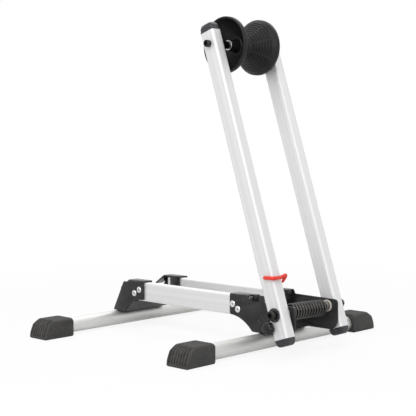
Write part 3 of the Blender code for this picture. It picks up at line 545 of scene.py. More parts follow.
def foot_mesh():
    """A boot with its tube side at X 0 and its outer end at +X, across Y."""
    side = rounded(FOOT_SIDE, FOOT_SPACING)
    middle = Vector((FOOT_LENGTH / 2, FOOT_HEIGHT / 2))
    rings, along, grip = [], [], []
    half = FOOT_WIDTH / 2
    for station in range(FOOT_STATIONS + 1):
        y = -half * math.cos(math.pi * station / FOOT_STATIONS)
        y = CROWDED_SHARE * y + EVEN_SHARE * (-half + FOOT_WIDTH * station / FOOT_STATIONS)
        depth = half - abs(y)
        side_in, low_in = rounded_in(depth, FOOT_SIDE_EDGE), rounded_in(depth, FOOT_LOW_EDGE)
        top_in = rounded_in(depth + FOOT_TOP_RIDGE, FOOT_TOP_EDGE)
        ring = []
        for x, z in side:
            scale_x = 1.0 - side_in / middle.x
            scale_z = 1.0 - (top_in if z > middle.y else low_in) / middle.y
            ring.append((middle.x + (x - middle.x) * scale_x, y, middle.y + (z - middle.y) * scale_z))
            end_share = min(1.0, max(TOP_GRIP, (x - END_GRIP_FROM) / END_GRIP_BLEND))
            if x < MOUTH_REACH:
                end_share = MOUTH_GRIP
            low_share = min(1.0, max(0.0, (z - END_FOOT_PLAIN) / END_FOOT_BLEND))
            if x < FOOT_LENGTH / 2:
                low_share = min(1.0, max(0.0, (z - FOOT_HEIGHT + NOTCH_DEPTH) / NOTCH_BLEND))
            across = 1.0 if abs(y) < GROOVE_REACH else 0.0
            grip.append(end_share * low_share * across)
            along.append(y)
        rings.append(ring)
    mesh = shape_of(*skin(rings))
    give(mesh, along=along, grip=grip)
    return mesh


def bored(mesh, radius, low, high, place):
    """Cuts a round bore along X through a mesh that lies round its own origin."""
    target = bpy.data.objects.new("target", mesh)
    rings = [[(a, b, depth) for a, b in circle(radius, TUBE_SIDES)] for depth in (low, high)]
    drill_at = Matrix.Translation([value * MM for value in place]) @ Z_TO_X
    drill = bpy.data.objects.new("drill", shape_of(*skin(rings), drill_at))
    for obj in (target, drill):
        bpy.context.scene.collection.objects.link(obj)
    cut = target.modifiers.new("Bore", "BOOLEAN")
    cut.operation, cut.solver, cut.object = "DIFFERENCE", "EXACT", drill
    graph = bpy.context.evaluated_depsgraph_get()
    made = bpy.data.meshes.new_from_object(target.evaluated_get(graph))
    for obj in (target, drill):
        bpy.data.objects.remove(obj, do_unlink=True)
    return made


for side, end in ENDS:
    for hand, turn in (("left", math.pi), ("right", 0.0)):
        name = f"foot_{side}_{hand}"
        outward = math.cos(turn)
        mesh = grown(
            foot_mesh(),
            MOULDED_RELIEF,
            pitch=GROOVE_PITCH,
            groove_width=GROOVE_WIDTH,
            soft_edge=GROOVE_SOFT_EDGE,
            depth=GROOVE_DEPTH,
            finish=rubber,
        )
        aside = (FLOOR_TUBE_Y - FOOT_MIDDLE_Y) * end * outward
        bore_at = (0.0, aside, FLOOR_TUBE_Z)
        mesh = bored(mesh, FLOOR_TUBE_RADIUS + BORE_SPARE, BORE_FROM, BORE_TO, bore_at)
        x = (BASE_HALF_LENGTH - FOOT_LENGTH) * outward
        at = BASE_MIDDLE @ Matrix.Translation((x * MM, FOOT_MIDDLE_Y * end * MM, 0.0))
        mesh.transform(at @ Matrix.Rotation(turn, 4, "Z"))
        add_piece(f"{name}_moulded", mesh, rubber, "base", [name], sharp=40)

# Front and rear brackets of 2 mm steel sheet, cut, bent and powder coated black. Each
# is screwed down to a floor tube and riveted to the rails. The front one's rear edge is
# let out a little here, clear of the rivets' heads.
SHEET_EDGE = 0.3
WELD_WITHIN = 0.002
FLAT_WITHIN = math.radians(0.6)
FRONT_BRACKET_END_Y = -94.0
FRONT_BRACKET_SPARE = 0.9
END_REACH = 0.3
black_coat = finish_material(
    "black_powder_coat",
    colours=((0.019, 0.019, 0.020, 1.0), (0.034, 0.034, 0.036, 1.0)),
    metallic=0.0,
    roughness=(0.15, 0.24),
    cell=(0.9, 0.9, 0.9),
    bump=0.006,
    wear_and_sheen=((0.07, 0.07, 0.073, 1.0), 0.35, 0.0),
    Specular_IOR_Level=0.2,
)


def merged(name):
    """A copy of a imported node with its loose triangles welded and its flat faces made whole."""
    shape = bmesh.new()
    shape.from_mesh(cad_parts[name].data)
    bmesh.ops.remove_doubles(shape, verts=shape.verts, dist=WELD_WITHIN * MM)
    bmesh.ops.dissolve_limit(shape, angle_limit=FLAT_WITHIN, verts=shape.verts, edges=shape.edges)
    mesh = bpy.data.meshes.new(name)
    shape.to_mesh(mesh)
    shape.free()
    return mesh


def refine(name, material, body, bevel, mesh=None):
    """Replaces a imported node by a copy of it, or by a mesh made from one, with broken edges."""
    add_piece(f"{name}_made", mesh or merged(name), material, body, [name], bevel)


front_sheet = merged("front_bracket")
for corner in front_sheet.vertices:
    if corner.co.y > (FRONT_BRACKET_END_Y + BASE_MIDDLE_Y - END_REACH) * MM:
        corner.co.y += FRONT_BRACKET_SPARE * MM
refine("front_bracket", black_coat, "base", SHEET_EDGE, front_sheet)
refine("rear_bracket", black_coat, "base", SHEET_EDGE)

# Pan-head screws of zinc-plated steel hold each bracket's floor down to its tube.
# Their low heads, with a square drive, clear the spring and the tyre above them.
zinc = finish_material(
    "bright_zinc",
    colours=((0.56, 0.56, 0.57, 1.0), (0.66, 0.66, 0.66, 1.0)),
    metallic=1.0,
    roughness=(0.22, 0.36),
    cell=(0.7, 0.7, 0.7),
    bump=0.006,
)
for side in ("front", "rear"):
    for hand in ("left", "right"):
        refine(f"{side}_{hand}_screw", zinc, "base", bevel=0.15)

# Two rails of rectangular drawn aluminium tube join the brackets between their walls,
# with a black plastic plug pressed into each end.
HANDS = (("left", -1), ("right", 1))
RAIL_WIDTH = 14.0
RAIL_HEIGHT = 28.0
RAIL_WALL = 1.5
RAIL_MIDDLE_X = 37.7
RAIL_MIDDLE_Z = 57.5
RAIL_FRONT_Y = -127.0
RAIL_REAR_Y = 111.0
RAIL_CORNER = 2.5
RAIL_BORE_CORNER = 1.2
SILVER = (0.80, 0.80, 0.805, 1.0)
SILVER_SHADE = (0.74, 0.74, 0.745, 1.0)


def rounded_box(width, height, radius):
    """Outline of a rounded rectangle."""
    a, b = width / 2, height / 2
    return rounded([(a, b, radius), (-a, b, radius), (-a, -b, radius), (a, -b, radius)])


rail_metal = finish_material(
    "satin_aluminium_rails",
    colours=(SILVER_SHADE, SILVER),
    metallic=1.0,
    roughness=(0.56, 0.66),
    cell=(0.5, 70.0, 0.5),
    bump=0.004,
    group=DRAWN_METAL,
)
plug_plastic = finish_material(
    "satin_black_plastic",
    colours=((0.016, 0.016, 0.020, 1.0), (0.027, 0.027, 0.033, 1.0)),
    metallic=0.0,
    roughness=(0.20, 0.32),
    cell=(0.35, 0.35, 0.35),
    bump=0.008,
    wear_and_sheen=((0.06, 0.06, 0.062, 1.0), 0.4, 0.04),
    Specular_IOR_Level=0.5,
)
for hand, sign in HANDS:
    outer = rounded_box(RAIL_WIDTH, RAIL_HEIGHT, RAIL_CORNER)
    inner = rounded_box(RAIL_WIDTH - 2 * RAIL_WALL, RAIL_HEIGHT - 2 * RAIL_WALL, RAIL_BORE_CORNER)
    rings = tube_rings(outer, inner, (RAIL_REAR_Y - RAIL_FRONT_Y) / 2, chamfer=0.2)
    middle = (sign * RAIL_MIDDLE_X * MM, (RAIL_FRONT_Y + RAIL_REAR_Y) / 2 * MM, RAIL_MIDDLE_Z * MM)
    at = BASE_MIDDLE @ Matrix.Translation(middle) @ Matrix.Rotation(math.pi / 2, 4, "X")
    mesh = shape_of(*skin(rings, closed=True), at)
    add_piece(f"{hand}_rail_drawn", mesh, rail_metal, "base", [f"{hand}_rail"])
    for side in ("front", "rear"):
        refine(f"{hand}_rail_{side}_plug", plug_plastic, "base", bevel=0.3)

# Blind rivets of aluminium, two through each bracket wall into the rail behind it.
# Their heads are domed, with a hollow where the steel stem broke off.
FRONT_RIVETS = ((-98.5, 59.4), (-108.0, 52.9))
REAR_RIVETS = ((93.2, 60.4), (104.0, 54.4))
RIVET_FACE = 47.3
# Radius and distance from the sheet, from the stem's hole over the head to the blind end.
RIVET_PROFILE = (
    (0.35, -2.6), (1.15, -2.6), (1.2, 0.85), (1.45, 1.12), (2.2, 1.18),
    (3.2, 1.02), (4.1, 0.68), (4.6, 0.32), (4.72, 0.08), (4.6, 0.0),
    (2.3, 0.0), (2.3, -4.4), (3.1, -4.8), (2.6, -8.3), (0.35, -8.3),
)


def lathe(profile, sides, turn=None):
    """A closed profile of (radius, x) points turned round the X axis."""
    rings = [[(x, a, b) for a, b in circle(radius, sides)] for radius, x in profile]
    return shape_of(*skin(rings, closed=True), turn)


def fastener_tree():
    """Sets one shape at every point, turned about Z by the point's turn."""
    inputs = [("Shape", "NodeSocketObject", None), ("Size", "NodeSocketFloat", 1.0)]
    tree, given, result = new_shape_tree("set_at_points", inputs)
    angles = node(tree, "ShaderNodeCombineXYZ", {"Z": stored(tree, "turn")}).outputs[0]
    shape = node(tree, "GeometryNodeObjectInfo", {"Object": given.outputs["Shape"]}).outputs["Geometry"]
    place = {"Points": given.outputs["Geometry"], "Instance": shape, "Rotation": angles}
    place["Scale"] = given.outputs["Size"]
    copies = node(tree, "GeometryNodeInstanceOnPoints", place).outputs[0]
    return end_shape_tree(tree, copies, given, result)


rivet_metal = finish_material(
    "bright_rivet_aluminium",
    colours=((0.66, 0.67, 0.68, 1.0), (0.80, 0.80, 0.81, 1.0)),
    metallic=1.0,
    roughness=(0.24, 0.40),
    cell=(0.4, 0.4, 0.4),
    bump=0.01,
)
rivet_shape = bpy.data.objects.new("rivet_shape", lathe(RIVET_PROFILE, sides=40))
rivet_points, rivet_turns, rivet_nodes = [], [], []
for hand, sign in HANDS:
    for side, places in (("front", FRONT_RIVETS), ("rear", REAR_RIVETS)):
        for index, (y, z) in enumerate(places, 1):
            rivet_points.append((sign * RIVET_FACE, y + BASE_MIDDLE_Y, z))
            rivet_turns.append(0.0 if sign > 0 else math.pi)
            rivet_nodes.append(f"{side}_{hand}_rivet_{index}")
points_mesh = bpy.data.meshes.new("rivet_places")
points_mesh.from_pydata([Vector(point) * MM for point in rivet_points], [], [])
give(points_mesh, turn=rivet_turns)
rivets_mesh = grown(points_mesh, fastener_tree(), shape=rivet_shape, finish=rivet_metal)
bpy.data.objects.remove(rivet_shape, do_unlink=True)
add_piece("blind_rivets", rivets_mesh, rivet_metal, "base", rivet_nodes)

# The torsion spring that lifts the arms: one round wire, oiled black, wound round the
# axle's sleeve, with a straight leg through a hole in the left wall.
AXLE_Y = -191.6
AXLE_Z = 56.2
SPRING_WIRE = 3.7
SPRING_RADIUS = 9.4
SPRING_TURNS = 12
SPRING_PITCH = 5.88
SPRING_START_X = -36.5
SPRING_LEFT_RISE = 0.7
SPRING_RIGHT_SAG = 1.7
SPRING_POINTS = 28
SPRING_HOLE = (-147.5, 41.8)
LEG_END_X = -47.6
# The leg's bend into the first curl: steps from the curl's start, abreast of the hole.
LEG_BEND = ((-3.2, 0.0, 0.0), (-1.9, -0.3, 0.0), (-1.0, -1.0, 0.0), (-0.3, -2.0, 0.0), (0.0, -3.2, 0.1))


def wire_tree():
    """A round wire with closed ends along a chain of edges, thinned by each point's thickness."""
    inputs = [("Wire radius", "NodeSocketFloat", 1.0), ("Sides", "NodeSocketInt", 16)]
    tree, given, result = new_shape_tree("wire_along_path", inputs)
    path = node(tree, "GeometryNodeMeshToCurve", {0: given.outputs["Geometry"]}).outputs[0]
    radius = maths(tree, "MULTIPLY", given.outputs["Wire radius"], MM)
    ring = {"Resolution": given.outputs["Sides"], "Radius": radius}
    ring = node(tree, "GeometryNodeCurvePrimitiveCircle", ring).outputs[0]
    drawn = {"Curve": path, "Profile Curve": ring, "Scale": stored(tree, "thickness"), "Fill Caps": True}
    wire = node(tree, "GeometryNodeCurveToMesh", drawn).outputs[0]
    return end_shape_tree(tree, wire, given, result)


WIRE_ALONG_PATH = wire_tree()
WIRE_WELD = 0.001


def wire_mesh(path, radius, sides, material, thickness=None):
    """A wire along points in millimetres, thinned where a thickness says so."""
    guide = bpy.data.meshes.new("wire_guide")
    steps = [(index, index + 1) for index in range(len(path) - 1)]
    guide.from_pydata([Vector(point) * MM for point in path], steps, [])
    give(guide, thickness=thickness or [1.0] * len(path))
    mesh = grown(guide, WIRE_ALONG_PATH, wire_radius=radius, sides=sides, finish=material)
    shape = bmesh.new()
    shape.from_mesh(mesh)
    bmesh.ops.remove_doubles(shape, verts=shape.verts, dist=WIRE_WELD * MM)
    bmesh.ops.recalc_face_normals(shape, faces=shape.faces)
    shape.to_mesh(mesh)
    shape.free()
    return mesh


def spring_path():
    """The fixed leg, and then the curls from left to right."""
    hole_y, hole_z = SPRING_HOLE
    reach = Vector((hole_y - AXLE_Y, hole_z - AXLE_Z))
    start = math.atan2(reach.y, reach.x) - math.acos(SPRING_RADIUS / reach.length)
    path = [(LEG_END_X, hole_y, hole_z)]
    path += [(SPRING_START_X + x, hole_y + y, hole_z + z) for x, y, z in LEG_BEND]
    count = SPRING_TURNS * SPRING_POINTS
    for index in range(count + 1):
        share = index / count
        angle = start - 2 * math.pi * SPRING_TURNS * share
        rise = SPRING_LEFT_RISE * (1 - share) - SPRING_RIGHT_SAG * share
        y = AXLE_Y + SPRING_RADIUS * math.cos(angle)
        z = AXLE_Z + SPRING_RADIUS * math.sin(angle) + rise
        path.append((SPRING_START_X + SPRING_PITCH * SPRING_TURNS * share, y, z))
    return [(x, y + BASE_MIDDLE_Y, z) for x, y, z in path]


# Black oxide for the screws and nuts. The same near-black colour is painted shade on the axle sleeve's
# waist and on the roller's spacers.
black_oxide_and_painted_shade = finish_material(
    "oiled_black_oxide",
    colours=((0.022, 0.021, 0.020, 1.0), (0.042, 0.040, 0.038, 1.0)),
    metallic=0.9,
    roughness=(0.18, 0.30),
    cell=(0.6, 0.6, 0.6),
    bump=0.006,
    wear_and_sheen=((0.12, 0.12, 0.118, 1.0), 0.5, -0.05),
)
spring_steel = finish_material(
    "oiled_spring_steel",
    colours=((0.055, 0.054, 0.052, 1.0), (0.085, 0.083, 0.080, 1.0)),
    metallic=1.0,
    roughness=(0.14, 0.24),
    cell=(0.6, 0.6, 0.6),
    bump=0.004,
)
wound = wire_mesh(spring_path(), SPRING_WIRE / 2, sides=20, material=spring_steel)
add_piece("torsion_spring_wound", wound, spring_steel, "base", ["torsion_spring"], sharp=60)

# The axle: a socket-head screw through both arms, with a plastic washer under its head
# and a lock nut. A sleeve, bare at its ends, runs inside the spring, in nylon bushes in
# the bracket's walls. Its waist is coloured near black: painted shade, for the shade
# between the spring's coils.
dull_zinc = finish_material(
    "dull_zinc",
    colours=((0.27, 0.265, 0.255, 1.0), (0.40, 0.39, 0.375, 1.0)),
    metallic=1.0,
    roughness=(0.38, 0.52),
    cell=(0.7, 0.7, 0.7),
    bump=0.006,
)
SLEEVE_BORE = 4.3
SLEEVE_RADIUS = 6.5
SLEEVE_END = 48.9
WAIST_RADIUS = 5.2
WAIST_FROM, WAIST_TO = -42.2, 38.0
SLEEVE_EDGE = 0.2
SLEEVE_AT = Matrix.Translation((0.0, (AXLE_Y + BASE_MIDDLE_Y) * MM, AXLE_Z * MM))


def turned_ring(bore, radius, low, high, edge):
    """Profile of a turned ring or sleeve with its outer edges broken."""
    lower = [(bore, low), (radius - edge, low), (radius, low + edge)]
    return lower + [(radius, high - edge), (radius - edge, high), (bore, high)]


# The waist's near-black colour is painted shade, the shade between the spring's coils.
for label, radius, low, high, metal, slot in (
    ("left_end", SLEEVE_RADIUS, -SLEEVE_END, WAIST_FROM, dull_zinc, "steel"),
    ("waist", WAIST_RADIUS, WAIST_FROM, WAIST_TO, black_oxide_and_painted_shade, "black_steel"),
    ("right_end", SLEEVE_RADIUS, WAIST_TO, SLEEVE_END, dull_zinc, "steel"),
):
    profile = turned_ring(SLEEVE_BORE, radius, low, high, SLEEVE_EDGE)
    mesh = lathe(profile, sides=48, turn=SLEEVE_AT)
    add_piece(f"axle_sleeve_{label}", mesh, metal, "arms", ["axle_sleeve"], sharp=40)
refine("axle_screw", black_oxide_and_painted_shade, "arms", bevel=0.35)
refine("axle_nut", black_oxide_and_painted_shade, "arms", bevel=0.3)
refine("axle_left_washer", plug_plastic, "arms", bevel=0.35)
refine("axle_right_washer", zinc, "arms", bevel=0.25)
natural_nylon = finish_material(
    "natural_nylon",
    colours=((0.60, 0.575, 0.51, 1.0), (0.68, 0.66, 0.60, 1.0)),
    metallic=0.0,
    roughness=(0.38, 0.52),
    cell=(0.35, 0.35, 0.35),
    bump=0.008,
    Subsurface_Weight=0.1,
    Subsurface_Scale=0.001,
)
for hand in ("left", "right"):
    refine(f"{hand}_axle_bush", natural_nylon, "base", bevel=0.2)

# Two arms of rounded rectangular drawn aluminium tube, leaning back from the axle, with
# a black plastic cap pressed into each end.
ARM_TILT = math.radians(18.0)
ARM_WIDTH = 17.8
ARM_DEPTH = 24.0
ARM_WALL = 1.6
ARM_CORNER = 4.0
ARM_BORE_CORNER = 2.4
ARM_MIDDLE_X = 58.1
ARM_BOTTOM = -32.8
ARM_TOP = 397.2
ARM_SILVER = (0.78, 0.78, 0.785, 1.0)
ARM_SILVER_SHADE = (0.72, 0.72, 0.725, 1.0)
AXLE = SLEEVE_AT @ Matrix.Rotation(-ARM_TILT, 4, "X")
CAP_LENGTHS = {"bottom": (ARM_BOTTOM, -1, 9.9), "top": (ARM_TOP, 1, 11.4)}
CAP_STEM_LENGTH = 12.0
CAP_STEM_SPARE = 0.6
CAP_STEM_CORNER = 2.0
CAP_LIP = 0.7
CAP_LIP_EDGE = 0.1
CAP_LIP_TOP = 1.5
DOME_STEPS = 10
DOME_START, DOME_SHRINK, DOME_POWER = 0.3, 8.4, 1.15
arm_metal = finish_material(
    "satin_aluminium_arms",
    colours=(ARM_SILVER_SHADE, ARM_SILVER),
    metallic=1.0,
    roughness=(0.68, 0.82),
    cell=(0.5, 0.5, 70.0),
    bump=0.005,
    group=DRAWN_METAL,
    turn=-ARM_TILT,
)


def along_arm(x, along):
    """The place in the arms' frame at X and a distance along them from the axle."""
    return AXLE @ Matrix.Translation((x * MM, 0.0, along * MM))


def cap_mesh(sign, length):
    """An arm's end cap, with its stem inside the tube, a thin lip and a domed head."""
    stem_width = ARM_WIDTH - 2 * ARM_WALL - CAP_STEM_SPARE
    stem_depth = ARM_DEPTH - 2 * ARM_WALL - CAP_STEM_SPARE
    stem = rounded_box(stem_width, stem_depth, CAP_STEM_CORNER)
    lip = rounded_box(ARM_WIDTH + CAP_LIP, ARM_DEPTH + CAP_LIP, ARM_CORNER + 0.2)
    lip_edge = rounded_box(ARM_WIDTH + CAP_LIP_EDGE, ARM_DEPTH + CAP_LIP_EDGE, ARM_CORNER)
    levels = [(stem, -CAP_STEM_LENGTH), (stem, 0.3), (lip_edge, 0.3), (lip, 0.55)]
    levels += [(lip, CAP_LIP_TOP - 0.25), (lip_edge, CAP_LIP_TOP)]
    for step in range(1, DOME_STEPS + 1):
        turn = math.pi / 2 * step / DOME_STEPS
        shrink = DOME_START + DOME_SHRINK * (1 - math.cos(turn)) ** DOME_POWER
        rise = CAP_LIP_TOP + (length - CAP_LIP_TOP) * math.sin(turn)
        corner = min(ARM_CORNER + 0.2 * shrink, (ARM_WIDTH - shrink) / 2 - 0.1)
        levels.append((rounded_box(ARM_WIDTH - shrink, ARM_DEPTH - shrink, corner), rise))
    return skin([[(a, b, z * sign) for a, b in outline] for outline, z in levels])


for hand, sign in HANDS:
    outer = rounded_box(ARM_WIDTH, ARM_DEPTH, ARM_CORNER)
    inner = rounded_box(ARM_WIDTH - 2 * ARM_WALL, ARM_DEPTH - 2 * ARM_WALL, ARM_BORE_CORNER)
    rings = tube_rings(outer, inner, (ARM_TOP - ARM_BOTTOM) / 2, chamfer=0.25)
    at = along_arm(sign * ARM_MIDDLE_X, (ARM_TOP + ARM_BOTTOM) / 2)
    mesh = shape_of(*skin(rings, closed=True), at)
    add_piece(f"{hand}_arm_drawn", mesh, arm_metal, "arms", [f"{hand}_arm"])
    for label, (at_end, way, length) in CAP_LENGTHS.items():
        mesh = shape_of(*cap_mesh(way, length), along_arm(sign * ARM_MIDDLE_X, at_end))
        name = f"{hand}_arm_{label}_cap"
        add_piece(f"{name}_moulded", mesh, plug_plastic, "arms", [name], sharp=40)

# The roller's bolt: a black socket-head screw and lock nut, with a zinc-plated sleeve.
# At each side a spacer holds a bright zinc collar against the roller's hub. The spacer
# beyond the collar is coloured near black: painted shade, for the shade in and beside
# the roller's dish.
ROLLER_AT = 379.5
SPACER_BORE = 4.3
SPACER_RADIUS = 5.4
COLLAR_RADIUS = 7.1
COLLAR_FROM, COLLAR_TO = 27.9, 29.1
SPACER_END = 48.9
refine("roller_screw", black_oxide_and_painted_shade, "arms", bevel=0.3)
refine("roller_nut", black_oxide_and_painted_shade, "arms", bevel=0.25)
refine("roller_sleeve", zinc, "arms", bevel=0.15)
for hand, sign in HANDS:
    node_name = f"{hand}_roller_spacer"
    for label, radius, low, high, edge, metal, slot in (
        ("collar", COLLAR_RADIUS, COLLAR_FROM, COLLAR_TO, 0.25, zinc, "steel"),
        # The spacer's near-black colour here is painted shade, the shade in and beside the dish.
        ("sleeve", SPACER_RADIUS, COLLAR_TO, SPACER_END, 0.2, black_oxide_and_painted_shade, "black_steel"),
    ):
        profile = turned_ring(SPACER_BORE, radius, low, high, edge)
        profile = [(radius, x * sign) for radius, x in profile]
        mesh = lathe(profile, sides=64, turn=along_arm(0.0, ROLLER_AT))
        add_piece(f"{node_name}_{label}", mesh, metal, "arms", [node_name], sharp=40)

# The roller: two dished cones of moulded plastic, back to back, that centre the tyre.
# Ridges run round each inner face, crossed by eight plain lines.
ROLLER_RADIUS = 39.25
ROLLER_HALF = 37.5
ROLLER_HUB_END = 27.6
ROLLER_SIDES = 240
ROLLER_BORE = 4.3
RIDGE_PITCH = 4.2
RIDGE_GAP = 2.0
RIDGE_SOFT_EDGE = 0.9
RIDGE_DEPTH = 1.0
PLAIN_LINES = 8.0
PLAIN_LINE_WIDTH = 2.4
FACE_STEPS = 96
# Plain steps of the face at the hub and the rim, and steps over which the ridges fade.
HUB_PLAIN, HUB_FADE = 4, 3
RIM_PLAIN, RIM_FADE = 12, 2
# Radius and distance from the roller's middle, first by the hub and then from the
# face's outer edge over the rim and down the dish to the hub's end.
HUB_FACE = ((ROLLER_BORE, 0.15), (11.6, 0.15), (12.6, 0.8))
RIDGED_FACE = Vector((13.5, 2.6)), Vector((ROLLER_RADIUS - 1.2, ROLLER_HALF - 7.6))
RIM_AND_DISH = (
    (ROLLER_RADIUS - 0.35, ROLLER_HALF - 6.9),
    (ROLLER_RADIUS, ROLLER_HALF - 6.0),
    (ROLLER_RADIUS, ROLLER_HALF - 1.4),
    (ROLLER_RADIUS - 0.4, ROLLER_HALF - 0.45),
    (ROLLER_RADIUS - 1.4, ROLLER_HALF),
    (ROLLER_RADIUS - 2.0, ROLLER_HALF),
    (ROLLER_RADIUS - 2.6, ROLLER_HALF - 0.4),
    (ROLLER_RADIUS - 3.6, ROLLER_HALF - 6.0),
    (14.0, 11.2),
    (12.0, 10.5),
    (9.6, 11.2),
    (8.6, 13.0),
    (7.6, ROLLER_HUB_END - 0.6),
    (7.3, ROLLER_HUB_END),
    (ROLLER_BORE, ROLLER_HUB_END),
)
roller_plastic = finish_material(
    "moulded_roller_plastic",
    colours=((0.007, 0.0068, 0.0065, 1.0), (0.0125, 0.012, 0.0115, 1.0)),
    metallic=0.0,
    roughness=(0.34, 0.48),
    cell=(0.45, 0.45, 0.45),
    bump=0.012,
    wear_and_sheen=((0.06, 0.058, 0.056, 1.0), 0.35, 0.05),
    Specular_IOR_Level=0.24,
)


def cone_mesh(sign):
    """One half of the roller, round the X axis, with its ridged face towards the middle."""
    start, end = RIDGED_FACE
    profile = [(radius, x, 0.0, 0.0) for radius, x in HUB_FACE]
    for step in range(FACE_STEPS + 1):
        point = start.lerp(end, step / FACE_STEPS)
        from_hub = max(0.0, step - HUB_PLAIN) / HUB_FADE
        from_rim = max(0.0, FACE_STEPS - RIM_PLAIN - step) / RIM_FADE
        profile.append((point.x, point.y, (point - start).length, min(1.0, from_hub, from_rim)))
    profile += [(radius, x, 0.0, 0.0) for radius, x in RIM_AND_DISH]
    turns = [2 * math.pi * index / ROLLER_SIDES for index in range(ROLLER_SIDES)]
    rings, along, grip, around, reach = [], [], [], [], []
    for radius, x, distance, share in profile:
        rings.append([(x * sign, a, b) for a, b in circle(radius, ROLLER_SIDES)])
        along += [distance] * ROLLER_SIDES
        grip += [share] * ROLLER_SIDES
        around += turns
        reach += [radius] * ROLLER_SIDES
    mesh = shape_of(*skin(rings, closed=True))
    give(mesh, along=along, grip=grip, around=around, reach=reach)
    return mesh


for hand, sign in HANDS:
    mesh = grown(
        cone_mesh(sign),
        MOULDED_RELIEF,
        pitch=RIDGE_PITCH,
        groove_width=RIDGE_GAP,
        soft_edge=RIDGE_SOFT_EDGE,
        depth=RIDGE_DEPTH,
        sectors=PLAIN_LINES,
        line_width=PLAIN_LINE_WIDTH,
        line_share=1.0,
        finish=roller_plastic,
    )
    mesh.transform(along_arm(0.0, ROLLER_AT))
    name = f"{hand}_roller_cone"
    add_piece(f"{name}_moulded", mesh, roller_plastic, "roller", [name], sharp=50)

# The hook that holds the folded arms: steel wire dipped in red vinyl, turning in a hole
# in the left arm and bent across the arm's front to its inner side.
LATCH_AT = 50.7
LATCH_WIRE = 5.0
LATCH_STEM = 10.9
STEM_END_STEP, STEM_END_THICKNESS = 0.4, 0.8
LATCH_GAP = 2.9
LATCH_OUTSIDE = -(ARM_MIDDLE_X + ARM_WIDTH / 2 + LATCH_GAP)
LATCH_FRONT = -(ARM_DEPTH / 2 + LATCH_GAP)
LATCH_INSIDE = -42.2
# Corners of the wire in the arms' frame (x, y, along the arm) and their bending radius.
LATCH_CORNERS = (
    (LATCH_OUTSIDE + LATCH_STEM, 0.0, 0.0, 0.0),
    (LATCH_OUTSIDE, 0.0, 0.0, 2.6),
    (LATCH_OUTSIDE, LATCH_FRONT, -4.1, 3.2),
    (-55.5, LATCH_FRONT, -4.5, 7.0),
    (LATCH_INSIDE, LATCH_FRONT, -1.7, 3.0),
    (LATCH_INSIDE, LATCH_FRONT + 9.8, -10.2, 0.0),
)
# The coating's drawn-out tip: shares of the last straight run and the thickness there.
LATCH_TIP = ((0.3, 0.94), (0.6, 0.80), (0.8, 0.68), (0.9, 0.60), (0.96, 0.46), (1.0, 0.2))
red_vinyl = finish_material(
    "dipped_red_vinyl",
    colours=((0.68, 0.020, 0.009, 1.0), (0.82, 0.040, 0.016, 1.0)),
    metallic=0.0,
    roughness=(0.16, 0.26),
    cell=(1.6, 1.6, 1.6),
    bump=0.012,
    Specular_IOR_Level=0.45,
)


def bent_path(corners, steps=12):
    """Points along straight runs whose corners (x, y, z, radius) are rounded."""
    path = []
    for index, corner in enumerate(corners):
        here, radius = Vector(corner[:3]), corner[3]
        if radius <= 0:
            path.append(here)
            continue
        before = Vector(corners[index - 1][:3]) - here
        after = Vector(corners[index + 1][:3]) - here
        reach = radius / math.tan(before.angle(after) / 2)
        start, end = here + before.normalized() * reach, here + after.normalized() * reach
        for step in range(steps + 1):
            t = step / steps
            path.append(start * (1 - t) ** 2 + here * 2 * t * (1 - t) + end * t**2)
    return path


latch_path = bent_path(LATCH_CORNERS)
tip_start, tip = latch_path[-2:]
latch_path[-1:] = [tip_start + (tip - tip_start) * share for share, _ in LATCH_TIP]
latch_thickness = [1.0] * (len(latch_path) - len(LATCH_TIP)) + [thick for _, thick in LATCH_TIP]
latch_path.insert(0, latch_path[0] + Vector((STEM_END_STEP, 0.0, 0.0)))
latch_thickness.insert(0, STEM_END_THICKNESS)
latch_mesh = wire_mesh(latch_path, LATCH_WIRE / 2, 24, red_vinyl, latch_thickness)
latch_mesh.transform(along_arm(0.0, LATCH_AT))
add_piece("latch_hook_dipped", latch_mesh, red_vinyl, "latch", ["latch_hook"], sharp=60)

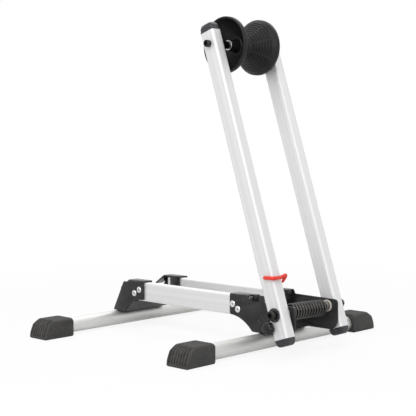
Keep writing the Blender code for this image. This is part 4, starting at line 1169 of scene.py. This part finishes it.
# The stop that the arms lean on: a lobed knob of glossy black plastic, moulded on a
# zinc-plated screw that passes through the left wall behind the arm.
STOP_SCREW_BEHIND = 13.9
STOP_SCREW_ALONG = -15.0
KNOB_FACE = 67.3
KNOB_LOBES = 6
KNOB_HOLLOW_POWER = 0.8
# Radius, depth of the hollows and distance out from the knob's inner face.
KNOB_LEVELS = (
    (8.3, 1.1, 0.0), (8.9, 1.2, 0.25), (9.4, 1.3, 0.8), (9.58, 1.3, 1.5),
    (9.5, 1.3, 2.6), (9.2, 1.25, 3.8), (8.7, 1.15, 5.0), (8.0, 1.0, 6.1),
    (7.1, 0.8, 6.95), (6.0, 0.55, 7.5), (4.6, 0.3, 7.85), (2.6, 0.1, 7.98),
)
knob_plastic = finish_material(
    "glossy_knob_plastic",
    colours=((0.007, 0.007, 0.0075, 1.0), (0.012, 0.012, 0.0125, 1.0)),
    metallic=0.0,
    roughness=(0.14, 0.24),
    cell=(1.2, 1.2, 1.2),
    bump=0.01,
    Specular_IOR_Level=0.35,
)


def lobed(radius, depth, points=144):
    """Outline of the knob: a circle with evenly spaced hollows."""
    outline = []
    for index in range(points):
        angle = 2 * math.pi * index / points
        reach = radius - depth * (1 - abs(math.cos(KNOB_LOBES * angle / 2)) ** KNOB_HOLLOW_POWER)
        outline.append((reach * math.cos(angle), reach * math.sin(angle)))
    return outline


knob_rings = [[(-x, a, b) for a, b in lobed(radius, depth)] for radius, depth, x in KNOB_LEVELS]
sine, cosine = math.sin(ARM_TILT), math.cos(ARM_TILT)
stop_y = AXLE_Y + BASE_MIDDLE_Y + STOP_SCREW_BEHIND * cosine + STOP_SCREW_ALONG * sine
stop_z = AXLE_Z - STOP_SCREW_BEHIND * sine + STOP_SCREW_ALONG * cosine
knob_at = Matrix.Translation((-KNOB_FACE * MM, stop_y * MM, stop_z * MM))
knob = shape_of(*skin(knob_rings), knob_at)
add_piece("stop_knob_moulded", knob, knob_plastic, "knob", ["stop_knob"], sharp=40)
refine("stop_screw", zinc, "knob", bevel=0.2)
